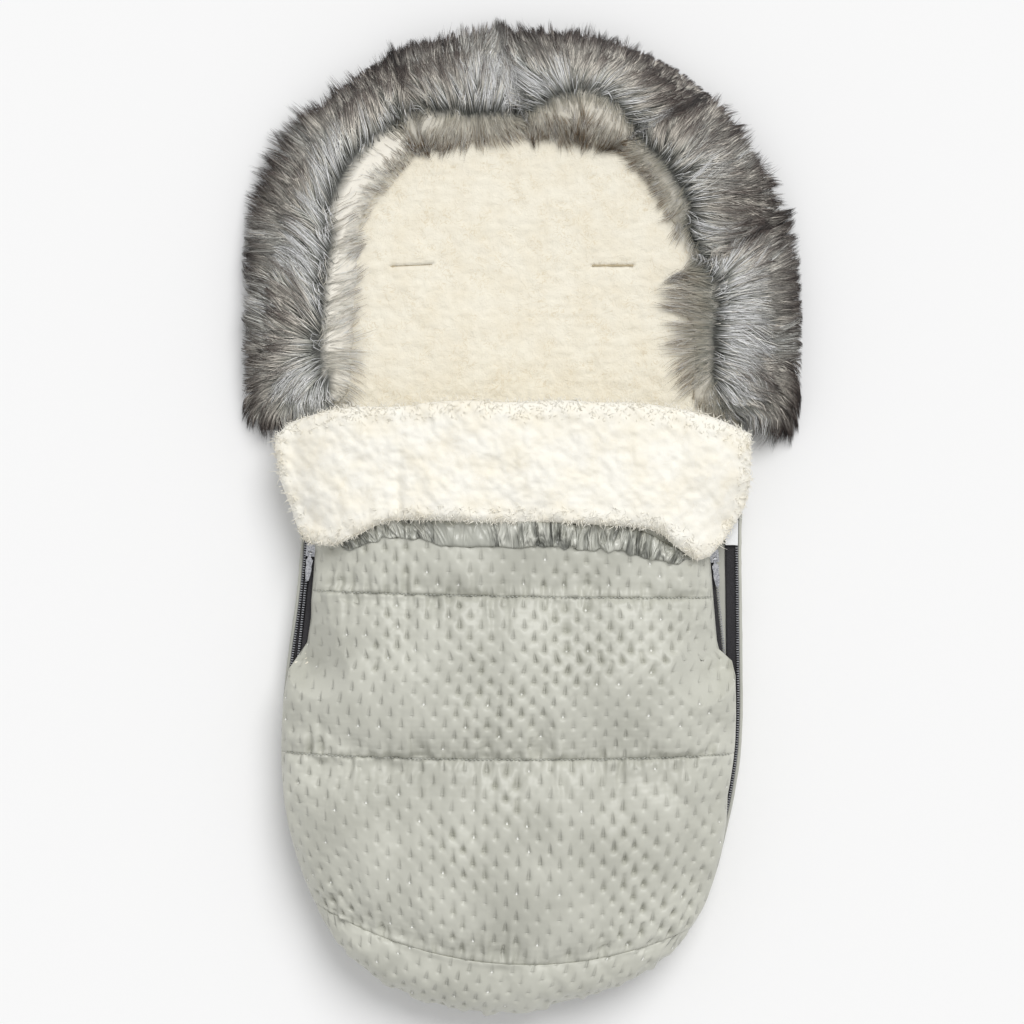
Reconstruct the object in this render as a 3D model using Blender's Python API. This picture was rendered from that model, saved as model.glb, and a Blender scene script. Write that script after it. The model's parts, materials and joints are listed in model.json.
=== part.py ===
# Stroller footmuff, lying on its back: toe end at -Y, head end at +Y, +X to the right seen from
# above. All lengths are in metres. The origin is on the floor under the middle of the whole part.

import math

import bmesh
import bpy
import numpy as np
from mathutils import Matrix, Vector
from mathutils.bvhtree import BVHTree

# Driving dimensions of the back mat and its fur trim
MAT_LENGTH = 0.936
MAT_HALF_WIDTH = 0.2215
FUR_REACH_SIDE = 0.049
FUR_REACH_HEAD = 0.040
FUR_INSIDE_SIDE = 0.046
FUR_INSIDE_HEAD = 0.056
FUR_HEIGHT = 0.056
FUR_END_GAP = 0.004
FUR_LOBE_GAP = 0.0005
FUR_FLOOR_GAP = 0.0003

# The plan outline of the mat, anticlockwise from the toe: a share of the half width to the right,
# and a share of the length from the toe
MAT_OUTLINE_SHARES = (
    (-0.120, 0.000), (0.354, 0.022), (0.648, 0.059), (0.815, 0.109), (0.923, 0.190), (0.991, 0.283),
    (0.995, 0.395), (0.991, 0.502), (1.000, 0.620), (0.991, 0.748), (0.914, 0.865), (0.603, 0.967),
    (-0.007, 1.000), (-0.571, 0.972), (-0.887, 0.887), (-0.991, 0.769), (-1.000, 0.652),
    (-0.986, 0.545), (-1.014, 0.449), (-1.072, 0.342), (-1.077, 0.246), (-1.000, 0.155),
    (-0.819, 0.072), (-0.526, 0.021),
)
OUTLINE_POINTS = 480
RING_POINTS = 60
CURVE_STEPS = 24
HEAD_END_SHARE = 0.6

# Layers of the back, from the floor up
SHELL_WALL = 0.0016
SHELL_CURL = 0.014
# The shell's curl up to its rim: shares of its size, inwards and upwards
SHELL_CURL_SHARES = ((1.0, 0.0), (0.35, 0.25), (0.07, 0.85))
RIM_HEIGHT = 0.0265
HEAD_RIM_HEIGHT = 0.0205
RIM_BLEND = 0.040
LAYER_GAP = 0.0004
BACK_WADDING_TOP = 0.0123
BACK_LINING_TOP = 0.0222
LINING_EDGE_RADIUS = 0.005
LINING_SIDE_SHARE = 0.8
WADDING_EDGE = 0.003

# Harness slots through the back
SLOT_LENGTH = 0.046
SLOT_WIDTH = 0.0062
SLOT_SPACING = 0.202
SLOT_MIDDLE_X = -0.0095
SLOT_FROM_TOE = 0.745
SLOT_TILT = math.radians(2.5)
SLOT_STITCH_WIDTH = 0.0028
SLOT_STITCH_GAP_SHARE = 0.125
SLOT_STITCH_HEIGHT = 0.0010
SLOT_CORNERS = 6
CUT_OVERRUN = 0.010

# Where the fur turns from the side's size to the head's, as shares of the mat's length
HEAD_BLEND_SHARES = (0.78, 0.97)

# Cross section of the fur roll, hooked over the mat's edge: the inner side's points by shares of
# the reach inwards and of the height, then the outer side's by shares of the reach outwards
FUR_INNER_SHARES = ((0.72, 0.80), (0.30, 0.97))
FUR_OUTER_SHARES = ((0.15, 1.00), (0.55, 0.86), (0.88, 0.56), (1.00, 0.26))
FUR_SEAT_SHARE = 0.14
FUR_UNDER_SHARES = (0.86, 0.10)
FUR_WALL_SHARE = 0.12

# A fur length's size at its creased ends, as shares of its full inner reach and height
FUR_CREASE_SHARES = (0.94, 0.84)
FUR_CREASE_STEEPNESS = 5.0

# The fur's lengths along the trim, from the right end of the fold to the left: first and last
# shares of its run, and steps
FUR_LOBE_SHARES = (
    ("fur_right", 0.000, 0.175, 6),
    ("fur_shoulder_right", 0.175, 0.350, 8),
    ("fur_top_right", 0.350, 0.500, 8),
    ("fur_top_left", 0.500, 0.650, 8),
    ("fur_left", 0.650, 1.000, 12),
)

# Fur backing strip on the mat's edge
BACKING_INSET = 0.003
BACKING_WIDTH = 0.016
BACKING_THICKNESS = 0.0010
BACKING_STEPS = 48

# Zips: the lower halves follow the mat's edge, the upper halves the cover's edge
TAPE_THICKNESS = 0.0008
LOWER_TAPE_INSET = 0.0006
LOWER_TAPE_WIDTH = 0.0155
LOWER_TEETH_INSET = 0.0034
TEETH_WIDTH = 0.0024
TEETH_HEIGHT = 0.0024
ZIP_END_GAP = 0.004
ZIP_TOP_FROM_TOE = 0.520
HINGE_CLEARANCE = 0.0001
UPPER_TEETH_SEAT = 0.0002
LOWER_PATH_STEPS = 30
UPPER_PATH_SEARCH = 90
UPPER_PATH_STEPS = 20
SLIDER_RUN_STEPS = 6
TOP_RUN_STEPS = 5
UPPER_TEETH_INSET = 0.0069
UPPER_TAPE_WIDTH = 0.0105
UPPER_TAPE_RISE = 0.0018
STOP_LENGTH = 0.0050
STOP_WALL = 0.0008
LEFT_SLIDER_INSET = 0.0102
LEFT_SLIDER_FROM_TOE = 0.460
LEFT_LINE_END_INSET = 0.0112
LEFT_LINE_END_FROM_TOE = 0.320
RIGHT_SLIDER_INSET = 0.0272
RIGHT_SLIDER_FROM_TOE = 0.454
RIGHT_LINE_END_INSET = 0.0094
RIGHT_LINE_END_FROM_TOE = 0.275
SLIDER_TRAVEL = 0.080

# Slider and pull
SLIDER_LENGTH = 0.0125
SLIDER_WIDTH = 0.0090
SLIDER_PLATE = 0.0014
SLIDER_CLEARANCE = 0.0004
POST_LENGTH = 0.0036
POST_WIDTH = 0.0012
POST_SETBACK = 0.0003
EAR_LENGTH = 0.0034
EAR_WALL = 0.0011
EAR_HEIGHT = 0.0036
PIN_RADIUS = 0.00065
PULL_EYE_RADIUS = 0.0017
PULL_EYE_BORE = 0.0010
PULL_LENGTH = 0.0275
PULL_WIDTH = 0.0072
PULL_TIP_WIDTH = 0.0026
PULL_THICKNESS = 0.0014
PIN_SIDES = 12
EYE_SIDES = 16

# The pull's neck beyond its eye, by shares of the eye's radius and of the pull's width, then its
# body and tip by shares of its length and width
PULL_NECK_SHARES = ((0.75, 0.30), (2.40, 0.34))
PULL_BODY_SHARES = ((0.26, 1.00), (0.45, 0.72), (0.62, 0.86), (0.85, 0.62))

# Front cover
COVER_INSET = 0.005
COVER_EDGE_THICKNESS = 0.0050
COVER_LINE_CLEARANCE = 0.0040
COVER_LINE_BLEND = 0.040
COVER_COLUMNS = 16
CHANNEL_ROWS = 6
SKIN_THICKNESS = 0.0012
COVER_LINING_THICKNESS = 0.0042
COVER_MARGIN_SHARE = 0.90
CROWN_POWER = 2.5
CUFF_CROWN_POWER = 6.0
PUFF_POWER = 0.5
# The most of the room between the cover's two faces that its lining and its skin take
LINING_ROOM_SHARE = 0.30
SKIN_ROOM_SHARE = 0.24

# The cover's cross seams from the toe seam to the fold. Each row: distance from the toe at the
# sides, how much further the left side lies than the right, rise of the middle, height of the
# outer skin and height of the lining's underside
COVER_SEAM_ROWS = (
    (0.0975, 0.0125, -0.0445, 0.0800, 0.0600),
    (0.2590, 0.0010, -0.0040, 0.0900, 0.0660),
    (0.4165, 0.0035, -0.0015, 0.0850, 0.0600),
    (0.5760, 0.0000, 0.0290, 0.0720, 0.0500),
)
CHANNEL_PUFFS = (0.0110, 0.0100, 0.0060)
SEAM_GAP = 0.0042

# Toe gusset
GUSSET_ROWS = 4
GUSSET_TIP = 0.007
GUSSET_SEAM_GAP = 0.0012
GUSSET_PUFF = 0.0050
GUSSET_COLUMN_SHARE = 0.97

# Cuff, turned down from the fold: how far it reaches beyond the mat's half width at the fold and
# at its free edge
CUFF_LEFT_REACH = 0.0200
CUFF_RIGHT_REACH = 0.0050
CUFF_EDGE_LEFT_REACH = -0.0115
CUFF_EDGE_RIGHT_REACH = -0.0335
CUFF_FOLD_FROM_TOE = 0.5790
CUFF_EDGE_FROM_TOE = 0.4660
CUFF_EDGE_TILT = 0.0040
CUFF_EDGE_RISE = 0.0230
CUFF_TAPER_POWER = 3.0
CUFF_COLUMNS = 18
CUFF_ROWS = 7
CUFF_LIFT = 0.0004
CUFF_FACING = 0.0010
CUFF_WADDING = 0.0070
CUFF_SHERPA = 0.0080
CUFF_SHERPA_EDGE = 0.0035
CUFF_SEARCH = 0.008
CUFF_PROBES = 5
CUFF_RISE_POWER = 4
CUFF_END_SHARE = 0.15
CUFF_END_STEEPNESS = 3.0
HEM_GAP = 0.0010
HEM_WIDTH = 0.020
HEM_HEIGHT = 0.0056
HEM_WALL = 0.0009
HEM_END = 0.022
HEM_STATIONS = 20
HEM_SIDES = 8
HEM_FLAT_SHARES = (1.25, 1.60)
ELASTIC_WIDTH = 0.015
ELASTIC_THICKNESS = 0.0012
FOLD_AXIS_AHEAD = 0.0020
FOLD_AXIS_ABOVE = 0.0015

# Blank tab on the right tape
LABEL_FROM_TOE = 0.4650
LABEL_LENGTH = 0.0250
LABEL_WIDTH = 0.0125
LABEL_THICKNESS = 0.0008

# Colours as linear red, green and blue, then roughness and metallic
FINISHES = {
    "satin": ((0.53, 0.54, 0.48), 0.42, 0.0),
    "sherpa": ((0.89, 0.84, 0.70), 0.95, 0.0),
    "wadding": ((0.86, 0.86, 0.84), 1.0, 0.0),
    "fur": ((0.22, 0.22, 0.20), 0.85, 0.0),
    "fur_knit": ((0.18, 0.18, 0.17), 0.90, 0.0),
    "tape": ((0.012, 0.011, 0.013), 0.80, 0.0),
    "zip_metal": ((0.62, 0.63, 0.66), 0.30, 1.0),
    "thread": ((0.28, 0.21, 0.13), 0.80, 0.0),
    "elastic": ((0.80, 0.80, 0.78), 0.80, 0.0),
    "label": ((0.90, 0.92, 0.93), 0.60, 0.0),
}

TOE_Y = -(MAT_LENGTH + FUR_REACH_HEAD) / 2

# Levels of the zips and of the cover's edge: the cover turns about a line just over the lower
# teeth, and its edge lies on the upper tape
LOWER_TEETH_LEVEL = RIM_HEIGHT + 2 * LAYER_GAP + TAPE_THICKNESS
HINGE_HEIGHT = LOWER_TEETH_LEVEL + TEETH_HEIGHT + HINGE_CLEARANCE
UPPER_TEETH_LEVEL = HINGE_HEIGHT + UPPER_TEETH_SEAT
UPPER_TAPE_TOP = UPPER_TEETH_LEVEL + UPPER_TAPE_RISE + TAPE_THICKNESS
COVER_EDGE_HEIGHT = UPPER_TAPE_TOP + LAYER_GAP


def clear_scene():
    for item in list(bpy.data.objects):
        bpy.data.objects.remove(item, do_unlink=True)


def material(name):
    """The one material of this finish."""
    made = bpy.data.materials.get(name)
    if made:
        return made
    colour, roughness, metallic = FINISHES[name]
    made = bpy.data.materials.new(name)
    made.use_nodes = True
    shader = made.node_tree.nodes["Principled BSDF"]
    shader.inputs["Base Color"].default_value = (*colour, 1.0)
    shader.inputs["Roughness"].default_value = roughness
    shader.inputs["Metallic"].default_value = metallic
    return made


def add_object(name, bm, finish, parent=None, smooth=True):
    """Turns a closed bmesh into a named object with its finish, seated under its body's empty."""
    bmesh.ops.recalc_face_normals(bm, faces=bm.faces[:])
    mesh = bpy.data.meshes.new(name)
    bm.to_mesh(mesh)
    bm.free()
    mesh.materials.append(material(finish))
    if smooth:
        mesh.shade_smooth()
        mesh.set_sharp_from_angle(angle=math.radians(50))
    item = bpy.data.objects.new(name, mesh)
    bpy.context.scene.collection.objects.link(item)
    if parent:
        item.parent = parent
        mesh.transform(Matrix.Translation(-parent.matrix_world.translation))
    return item


def add_pivot(name, place, parent=None):
    """An empty on a joint's axis, which carries that body's pieces."""
    pivot = bpy.data.objects.new(name, None)
    bpy.context.scene.collection.objects.link(pivot)
    pivot.empty_display_size = SLIDER_LENGTH
    pivot.parent = parent
    pivot.location = Vector(place) - (parent.matrix_world.translation if parent else Vector())
    bpy.context.view_layer.update()
    return pivot


# Plan curves

def smooth_step(value, low, high):
    share = min(max((value - low) / (high - low), 0.0), 1.0)
    return share * share * (3.0 - 2.0 * share)


def closed_curve(points, count):
    """A closed Catmull-Rom curve through the points, with count even steps along its length."""
    ring = np.array(points, float)
    shares = np.linspace(0.0, 1.0, CURVE_STEPS, endpoint=False)[:, None]
    before, after, last = np.roll(ring, 1, 0), np.roll(ring, -1, 0), np.roll(ring, -2, 0)
    pieces = []
    for p0, p1, p2, p3 in zip(before, ring, after, last):
        pieces.append(
            0.5 * (2 * p1 + (p2 - p0) * shares
                   + (2 * p0 - 5 * p1 + 4 * p2 - p3) * shares ** 2
                   + (3 * p1 - p0 - 3 * p2 + p3) * shares ** 3)
        )
    return even_steps(np.concatenate(pieces), count, closed=True)


def even_steps(points, count, closed=False):
    """The same line with count points, spaced evenly along it."""
    line = np.vstack([points, points[:1]]) if closed else np.array(points, float)
    run = np.concatenate([[0.0], np.cumsum(np.linalg.norm(np.diff(line, axis=0), axis=1))])
    marks = np.linspace(0.0, run[-1], count, endpoint=not closed)
    return np.column_stack([np.interp(marks, run, line[:, axis]) for axis in range(line.shape[1])])


def inward_normals(points, closed=True):
    """Unit normals to the left of a line, which on an anticlockwise outline point inwards."""
    if closed:
        ahead = np.roll(points, -1, 0) - np.roll(points, 1, 0)
    else:
        ahead = np.gradient(points, axis=0)
    normals = np.column_stack([-ahead[:, 1], ahead[:, 0]])
    return normals / np.linalg.norm(normals, axis=1)[:, None]


def mat_outline():
    """The mat's outline at full size, anticlockwise from its toe."""
    shares = closed_curve(MAT_OUTLINE_SHARES, OUTLINE_POINTS)
    low, high = shares[:, 1].min(), shares[:, 1].max()
    head_end = shares[:, 0][shares[:, 1] > HEAD_END_SHARE]
    across = shares[:, 0] - (head_end.max() + head_end.min()) / 2
    along = (shares[:, 1] - low) / (high - low)
    outline = np.column_stack([across * MAT_HALF_WIDTH, TOE_Y + along * MAT_LENGTH])
    return np.roll(outline, -int(outline[:, 1].argmin()), axis=0)


OUTLINE = mat_outline()
NORMALS = inward_normals(OUTLINE)
HEAD_INDEX = int(OUTLINE[:, 1].argmax())


def side_points(side):
    """The outline from the toe to the head on one side: 1 is right and -1 is left."""
    if side > 0:
        return OUTLINE[:HEAD_INDEX + 1]
    return np.vstack([OUTLINE[:1], OUTLINE[:HEAD_INDEX - 1:-1]])


def outline_x(side, y):
    line = side_points(side)
    return float(np.interp(y, line[:, 1], line[:, 0]))


def inset(points, normals, distance):
    return points + normals * distance


def edge_place(side, from_toe, distance):
    """A place that lies a distance in from the outline's side."""
    y = TOE_Y + from_toe
    return np.array([outline_x(side, y) - side * distance, y])


def slider_start(side):
    if side < 0:
        return edge_place(side, LEFT_SLIDER_FROM_TOE, LEFT_SLIDER_INSET)
    return edge_place(side, RIGHT_SLIDER_FROM_TOE, RIGHT_SLIDER_INSET)


def line_end(side):
    if side < 0:
        return edge_place(side, LEFT_LINE_END_FROM_TOE, LEFT_LINE_END_INSET)
    return edge_place(side, RIGHT_LINE_END_FROM_TOE, RIGHT_LINE_END_INSET)


def slider_direction(side):
    """The way a slider runs towards the toe."""
    run = line_end(side) - slider_start(side)
    return run / np.linalg.norm(run)


def slider_line_x(side, y):
    start, run = slider_start(side), slider_direction(side)
    return float(start[0] + run[0] * (y - start[1]) / run[1])


# Lofts and slabs

def new_loop(bm, points):
    verts = [bm.verts.new(point) for point in points]
    return verts, [bm.edges.new((a, b)) for a, b in zip(verts, verts[1:] + verts[:1])]


def next_loop(bm, verts, edges, points):
    """Extrudes a loop of edges and moves its copy to the given points."""
    made = bmesh.ops.extrude_edge_only(bm, edges=edges)["geom"]
    index = {vert: number for number, vert in enumerate(verts)}
    ahead = [None] * len(verts)
    for vert in made:
        if not isinstance(vert, bmesh.types.BMVert):
            continue
        source = next(edge.other_vert(vert) for edge in vert.link_edges
                      if edge.other_vert(vert) in index)
        ahead[index[source]] = vert
    for vert, point in zip(ahead, points):
        vert.co = point
    fresh = set(ahead)
    rim = [item for item in made
           if isinstance(item, bmesh.types.BMEdge) and set(item.verts) <= fresh]
    return ahead, rim


def loft(name, loops, finish, parent=None, smooth=True):
    """A closed solid through a row of loops that have the same number of points."""
    bm = bmesh.new()
    verts, edges = new_loop(bm, loops[0])
    bm.faces.new(verts[::-1])
    for points in loops[1:]:
        verts, edges = next_loop(bm, verts, edges, points)
    bm.faces.new(verts)
    return add_object(name, bm, finish, parent, smooth)


def ring_tube(name, outer, inner, finish, parent=None):
    """A sleeve: outer and inner loops along the same stations, joined at both open ends."""
    bm = bmesh.new()
    ends = []
    for loops in (outer, inner):
        verts, edges = new_loop(bm, loops[0])
        first = verts
        for points in loops[1:]:
            verts, edges = next_loop(bm, verts, edges, points)
        ends.append((first, verts))
    for outside, inside in zip(ends[0], ends[1]):
        for number, vert in enumerate(outside):
            ahead = (number + 1) % len(outside)
            bm.faces.new((vert, outside[ahead], inside[ahead], inside[number]))
    return add_object(name, bm, finish, parent)


def slab(name, lower, upper, finish, parent=None):
    """A closed sheet between two grids of points, both indexed by row and column."""
    rows, columns = lower.shape[0] - 1, lower.shape[1] - 1
    bm = bmesh.new()
    bmesh.ops.create_grid(bm, x_segments=columns, y_segments=rows, size=0.5)
    bmesh.ops.triangulate(bm, faces=bm.faces[:], quad_method="FIXED")
    below = bm.verts[:]
    made = bmesh.ops.extrude_face_region(bm, geom=bm.faces[:], use_keep_orig=True)["geom"]
    above = [item for item in made if isinstance(item, bmesh.types.BMVert)]
    for verts, grid in ((below, lower), (above, upper)):
        for vert in verts:
            row = round((vert.co.y + 0.5) * rows)
            column = round((vert.co.x + 0.5) * columns)
            vert.co = grid[row, column]
    return add_object(name, bm, finish, parent)


def box_bmesh(low, high):
    bm = bmesh.new()
    bmesh.ops.create_cube(bm, size=1.0)
    size, middle = Vector(high) - Vector(low), (Vector(high) + Vector(low)) / 2
    bmesh.ops.transform(bm, matrix=Matrix.Translation(middle) @ Matrix.Diagonal((*size, 1.0)),
                        verts=bm.verts[:])
    return bm


def hide_tool(item):
    item.hide_render = True
    item.display_type = "WIRE"
    return item


def boolean(item, tool, operation):
    change = item.modifiers.new(f"{operation.lower()} {tool.name}", "BOOLEAN")
    change.operation = operation
    change.solver = "EXACT"
    change.object = hide_tool(tool)


# Back mat

def ring_at(distance, height):
    """A loop round the mat at one distance in from its outline; height may depend on y."""
    line = even_steps(OUTLINE, RING_POINTS, closed=True)
    loop = inset(line, inward_normals(line), distance)
    return [(x, y, height(y) if callable(height) else height) for x, y in loop]


def fold_y():
    return TOE_Y + COVER_SEAM_ROWS[-1][0]


def rim_top(y):
    """The rim stands at the zip's level beside the cover, and lower under the fur."""
    share = smooth_step(y, fold_y() - RIM_BLEND, fold_y() + RIM_BLEND)
    return RIM_HEIGHT + (HEAD_RIM_HEIGHT - RIM_HEIGHT) * share


def make_back_outer():
    foot, bend, side = [(SHELL_CURL * inwards, SHELL_CURL * up) for inwards, up in SHELL_CURL_SHARES]
    loops = [
        ring_at(*foot),
        ring_at(*bend),
        ring_at(*side),
        ring_at(0.0, rim_top),
        ring_at(SHELL_WALL, rim_top),
        ring_at(side[0] + SHELL_WALL, side[1] + SHELL_WALL / 2),
        ring_at(bend[0] + SHELL_WALL, bend[1] + SHELL_WALL),
        ring_at(foot[0] + SHELL_WALL / 2, foot[1] + SHELL_WALL),
    ]
    return loft("back_outer", loops, "satin")


def make_back_wadding():
    floor = SHELL_WALL + LAYER_GAP
    bend = SHELL_CURL * SHELL_CURL_SHARES[1][0]
    loops = [
        ring_at(SHELL_CURL + 2 * WADDING_EDGE, floor),
        ring_at(bend + SHELL_WALL + WADDING_EDGE, floor + WADDING_EDGE),
        ring_at(SHELL_WALL + WADDING_EDGE, BACK_WADDING_TOP - WADDING_EDGE / 2),
        ring_at(SHELL_WALL + 3 * WADDING_EDGE, BACK_WADDING_TOP),
    ]
    return loft("back_wadding", loops, "wadding")


def make_back_lining():
    floor, edge = BACK_WADDING_TOP + LAYER_GAP, LINING_EDGE_RADIUS
    wall = SHELL_WALL + WADDING_EDGE / 2
    loops = [
        ring_at(wall + WADDING_EDGE, floor),
        ring_at(wall, floor + edge / 4),
        ring_at(wall, BACK_LINING_TOP - LINING_SIDE_SHARE * edge),
        ring_at(wall + edge / 2, BACK_LINING_TOP - edge / 4),
        ring_at(wall + 2 * edge, BACK_LINING_TOP),
    ]
    return loft("back_lining", loops, "sherpa")


def slot_centre(side):
    return Vector((SLOT_MIDDLE_X + side * SLOT_SPACING / 2, TOE_Y + SLOT_FROM_TOE, 0.0))


def slot_loop(side, grow, height):
    """A round-ended loop about a harness slot, grow wider than the slot all round."""
    radius = SLOT_WIDTH / 2 + grow
    half = SLOT_LENGTH / 2 - SLOT_WIDTH / 2
    turn = Matrix.Rotation(SLOT_TILT * (1 if side < 0 else 0), 4, "Z")
    points = []
    for end, first in ((1, -0.5 * math.pi), (-1, 0.5 * math.pi)):
        for step in range(SLOT_CORNERS + 1):
            angle = first + math.pi * step / SLOT_CORNERS
            place = Vector((end * half + radius * math.cos(angle), radius * math.sin(angle), height))
            points.append(slot_centre(side) + turn @ place)
    return points


def cut_slots(items):
    for side in (-1, 1):
        loops = [slot_loop(side, 0.0, -CUT_OVERRUN),
                 slot_loop(side, 0.0, BACK_LINING_TOP + CUT_OVERRUN)]
        word = "left" if side < 0 else "right"
        cutter = loft(f"slot_cutter_{word}", loops, "thread")
        for item in items:
            boolean(item, cutter, "DIFFERENCE")


def make_slot_stitching(side, name):
    """A thin ring of thread that seats on the lining round the slot."""
    low = BACK_LINING_TOP + LAYER_GAP / 2
    high = low + SLOT_STITCH_HEIGHT
    wide, tight = SLOT_STITCH_WIDTH, SLOT_STITCH_WIDTH * SLOT_STITCH_GAP_SHARE
    outer = [slot_loop(side, wide, low), slot_loop(side, wide, high)]
    inner = [slot_loop(side, tight, low), slot_loop(side, tight, high)]
    return ring_tube(name, outer, inner, "thread")


# Fur trim

def fur_path(count):
    """The mat's edge from the fold on the right, round the head, to the fold on the left."""
    start = fold_y() + COVER_SEAM_ROWS[-1][2] / 2 + FUR_END_GAP
    keep = OUTLINE[OUTLINE[:, 1] > start]
    return even_steps(keep, count)


def headness(y):
    return smooth_step((y - TOE_Y) / MAT_LENGTH, *HEAD_BLEND_SHARES)


def fur_section(place, outward, size):
    """The roll's cross section at one place: it hooks over the mat's edge down to the floor."""
    head = headness(place[1])
    narrow, flat = [share + (1.0 - share) * size for share in FUR_CREASE_SHARES]
    reach = FUR_REACH_SIDE + (FUR_REACH_HEAD - FUR_REACH_SIDE) * head
    inside = (FUR_INSIDE_SIDE + (FUR_INSIDE_HEAD - FUR_INSIDE_SIDE) * head) * narrow
    top = FUR_HEIGHT * flat
    seat = BACK_LINING_TOP + BACKING_THICKNESS + 2 * LAYER_GAP
    wall = LAYER_GAP + FUR_LOBE_GAP
    profile = [(-inside, seat), (-inside, seat + FUR_SEAT_SHARE * top)]
    profile += [(-inside * across, top * up) for across, up in FUR_INNER_SHARES]
    profile += [(reach * across, top * up) for across, up in FUR_OUTER_SHARES]
    profile += [(reach * across, FUR_FLOOR_GAP) for across in FUR_UNDER_SHARES]
    profile += [(wall, FUR_WALL_SHARE * top), (wall, seat)]
    return [(place[0] + outward[0] * across, place[1] + outward[1] * across, height)
            for across, height in profile]


def make_fur():
    """The trim's lengths, each a little slimmer at its ends, where the photograph shows creases."""
    path = fur_path(OUTLINE_POINTS)
    outward = -inward_normals(path, closed=False)
    length = float(np.linalg.norm(np.diff(path, axis=0), axis=1).sum())
    for name, first, last, steps in FUR_LOBE_SHARES:
        gap = FUR_LOBE_GAP / length
        marks = np.linspace(first + gap, last - gap, steps + 1)
        loops = []
        for number, mark in enumerate(marks):
            index = mark * (len(path) - 1)
            place = [np.interp(index, range(len(path)), path[:, axis]) for axis in (0, 1)]
            away = [np.interp(index, range(len(path)), outward[:, axis]) for axis in (0, 1)]
            along = number / steps
            size = min(1.0, FUR_CREASE_STEEPNESS * min(along, 1.0 - along))
            loops.append(fur_section(place, away, size))
        loft(name, loops, "fur")


def make_fur_backing():
    path = fur_path(BACKING_STEPS)
    normals = inward_normals(path, closed=False)
    low = BACK_LINING_TOP + LAYER_GAP
    edge = BACKING_INSET + LINING_EDGE_RADIUS
    loops = []
    for place, normal in zip(path, normals):
        corners = ((edge, low), (edge + BACKING_WIDTH, low),
                   (edge + BACKING_WIDTH, low + BACKING_THICKNESS), (edge, low + BACKING_THICKNESS))
        loops.append([(place[0] + normal[0] * across, place[1] + normal[1] * across, height)
                      for across, height in corners])
    loft("fur_backing", loops, "fur_knit", smooth=False)


# Zips

def ribbon(name, path, side, near, far, low, high, finish, parent=None, tilt=0.0):
    """A strip along a path, from near to far on its inner side; its far edge may be raised."""
    normals = inward_normals(path, closed=False) * side
    loops = []
    for place, normal in zip(path, normals):
        corners = ((near, low), (far, low + tilt), (far, high + tilt), (near, high))
        loops.append([(place[0] + normal[0] * across, place[1] + normal[1] * across, height)
                      for across, height in corners])
    return loft(name, loops, finish, parent, smooth=False)


def lower_path(side, count=LOWER_PATH_STEPS):
    """The mat's edge on one side, from just beside the toe's middle to the zip's top end."""
    line = side_points(side)
    keep = line[(line[:, 1] < TOE_Y + ZIP_TOP_FROM_TOE)]
    run = np.concatenate([[0.0], np.cumsum(np.linalg.norm(np.diff(keep, axis=0), axis=1))])
    keep = keep[run > ZIP_END_GAP + STOP_LENGTH]
    return even_steps(keep, count)


def upper_path(side):
    """The upper teeth's middle line: along the toe, then the slider's straight run, then up."""
    line = lower_path(side, UPPER_PATH_SEARCH)
    normals = inward_normals(line, closed=False) * side
    toe_part = inset(line, normals, UPPER_TEETH_INSET)
    toe_part = toe_part[toe_part[:, 1] < line_end(side)[1] - 2 * COVER_LINE_BLEND]
    run = slider_direction(side)
    start = slider_start(side) - run * SLIDER_LENGTH
    straight = np.linspace(line_end(side), start, SLIDER_RUN_STEPS)
    top_y = TOE_Y + ZIP_TOP_FROM_TOE
    top = np.array([outline_x(side, top_y) - side * (UPPER_TEETH_INSET + COVER_INSET), top_y])
    end = np.linspace(start, top, TOP_RUN_STEPS)[1:]
    return np.vstack([even_steps(toe_part, UPPER_PATH_STEPS), straight, end])


def make_zip(side, word, cover):
    low_tape = RIM_HEIGHT + LAYER_GAP
    path = lower_path(side)
    ribbon(f"zip_{word}_lower_tape", path, side, LOWER_TAPE_INSET, LOWER_TAPE_INSET + LOWER_TAPE_WIDTH,
           low_tape, low_tape + TAPE_THICKNESS, "tape")
    ribbon(f"zip_{word}_lower_teeth", path, side, LOWER_TEETH_INSET, LOWER_TEETH_INSET + TEETH_WIDTH,
           LOWER_TEETH_LEVEL, LOWER_TEETH_LEVEL + TEETH_HEIGHT, "zip_metal")
    path = upper_path(side)
    half = TEETH_WIDTH / 2
    up_tape = UPPER_TEETH_LEVEL + UPPER_TAPE_RISE
    ribbon(f"zip_{word}_upper_teeth", path, side, -half, half, UPPER_TEETH_LEVEL,
           UPPER_TEETH_LEVEL + TEETH_HEIGHT, "zip_metal", cover)
    ribbon(f"zip_{word}_upper_tape", path, side, half + LAYER_GAP, half + UPPER_TAPE_WIDTH,
           up_tape, up_tape + TAPE_THICKNESS, "tape", cover)


def block_on(path, side, near, far, low, high, ahead, name, finish, parent=None):
    """A small block on the end of a path, ahead of its last point."""
    along = path[-1] - path[-2]
    along = along / np.linalg.norm(along)
    normal = np.array([-along[1], along[0]]) * side
    loops = []
    for step in (LAYER_GAP, ahead):
        place = path[-1] + along * step
        corners = ((near, low), (far, low), (far, high), (near, high))
        loops.append([(place[0] + normal[0] * across, place[1] + normal[1] * across, height)
                      for across, height in corners])
    loft(name, loops, finish, parent, smooth=False)


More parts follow.
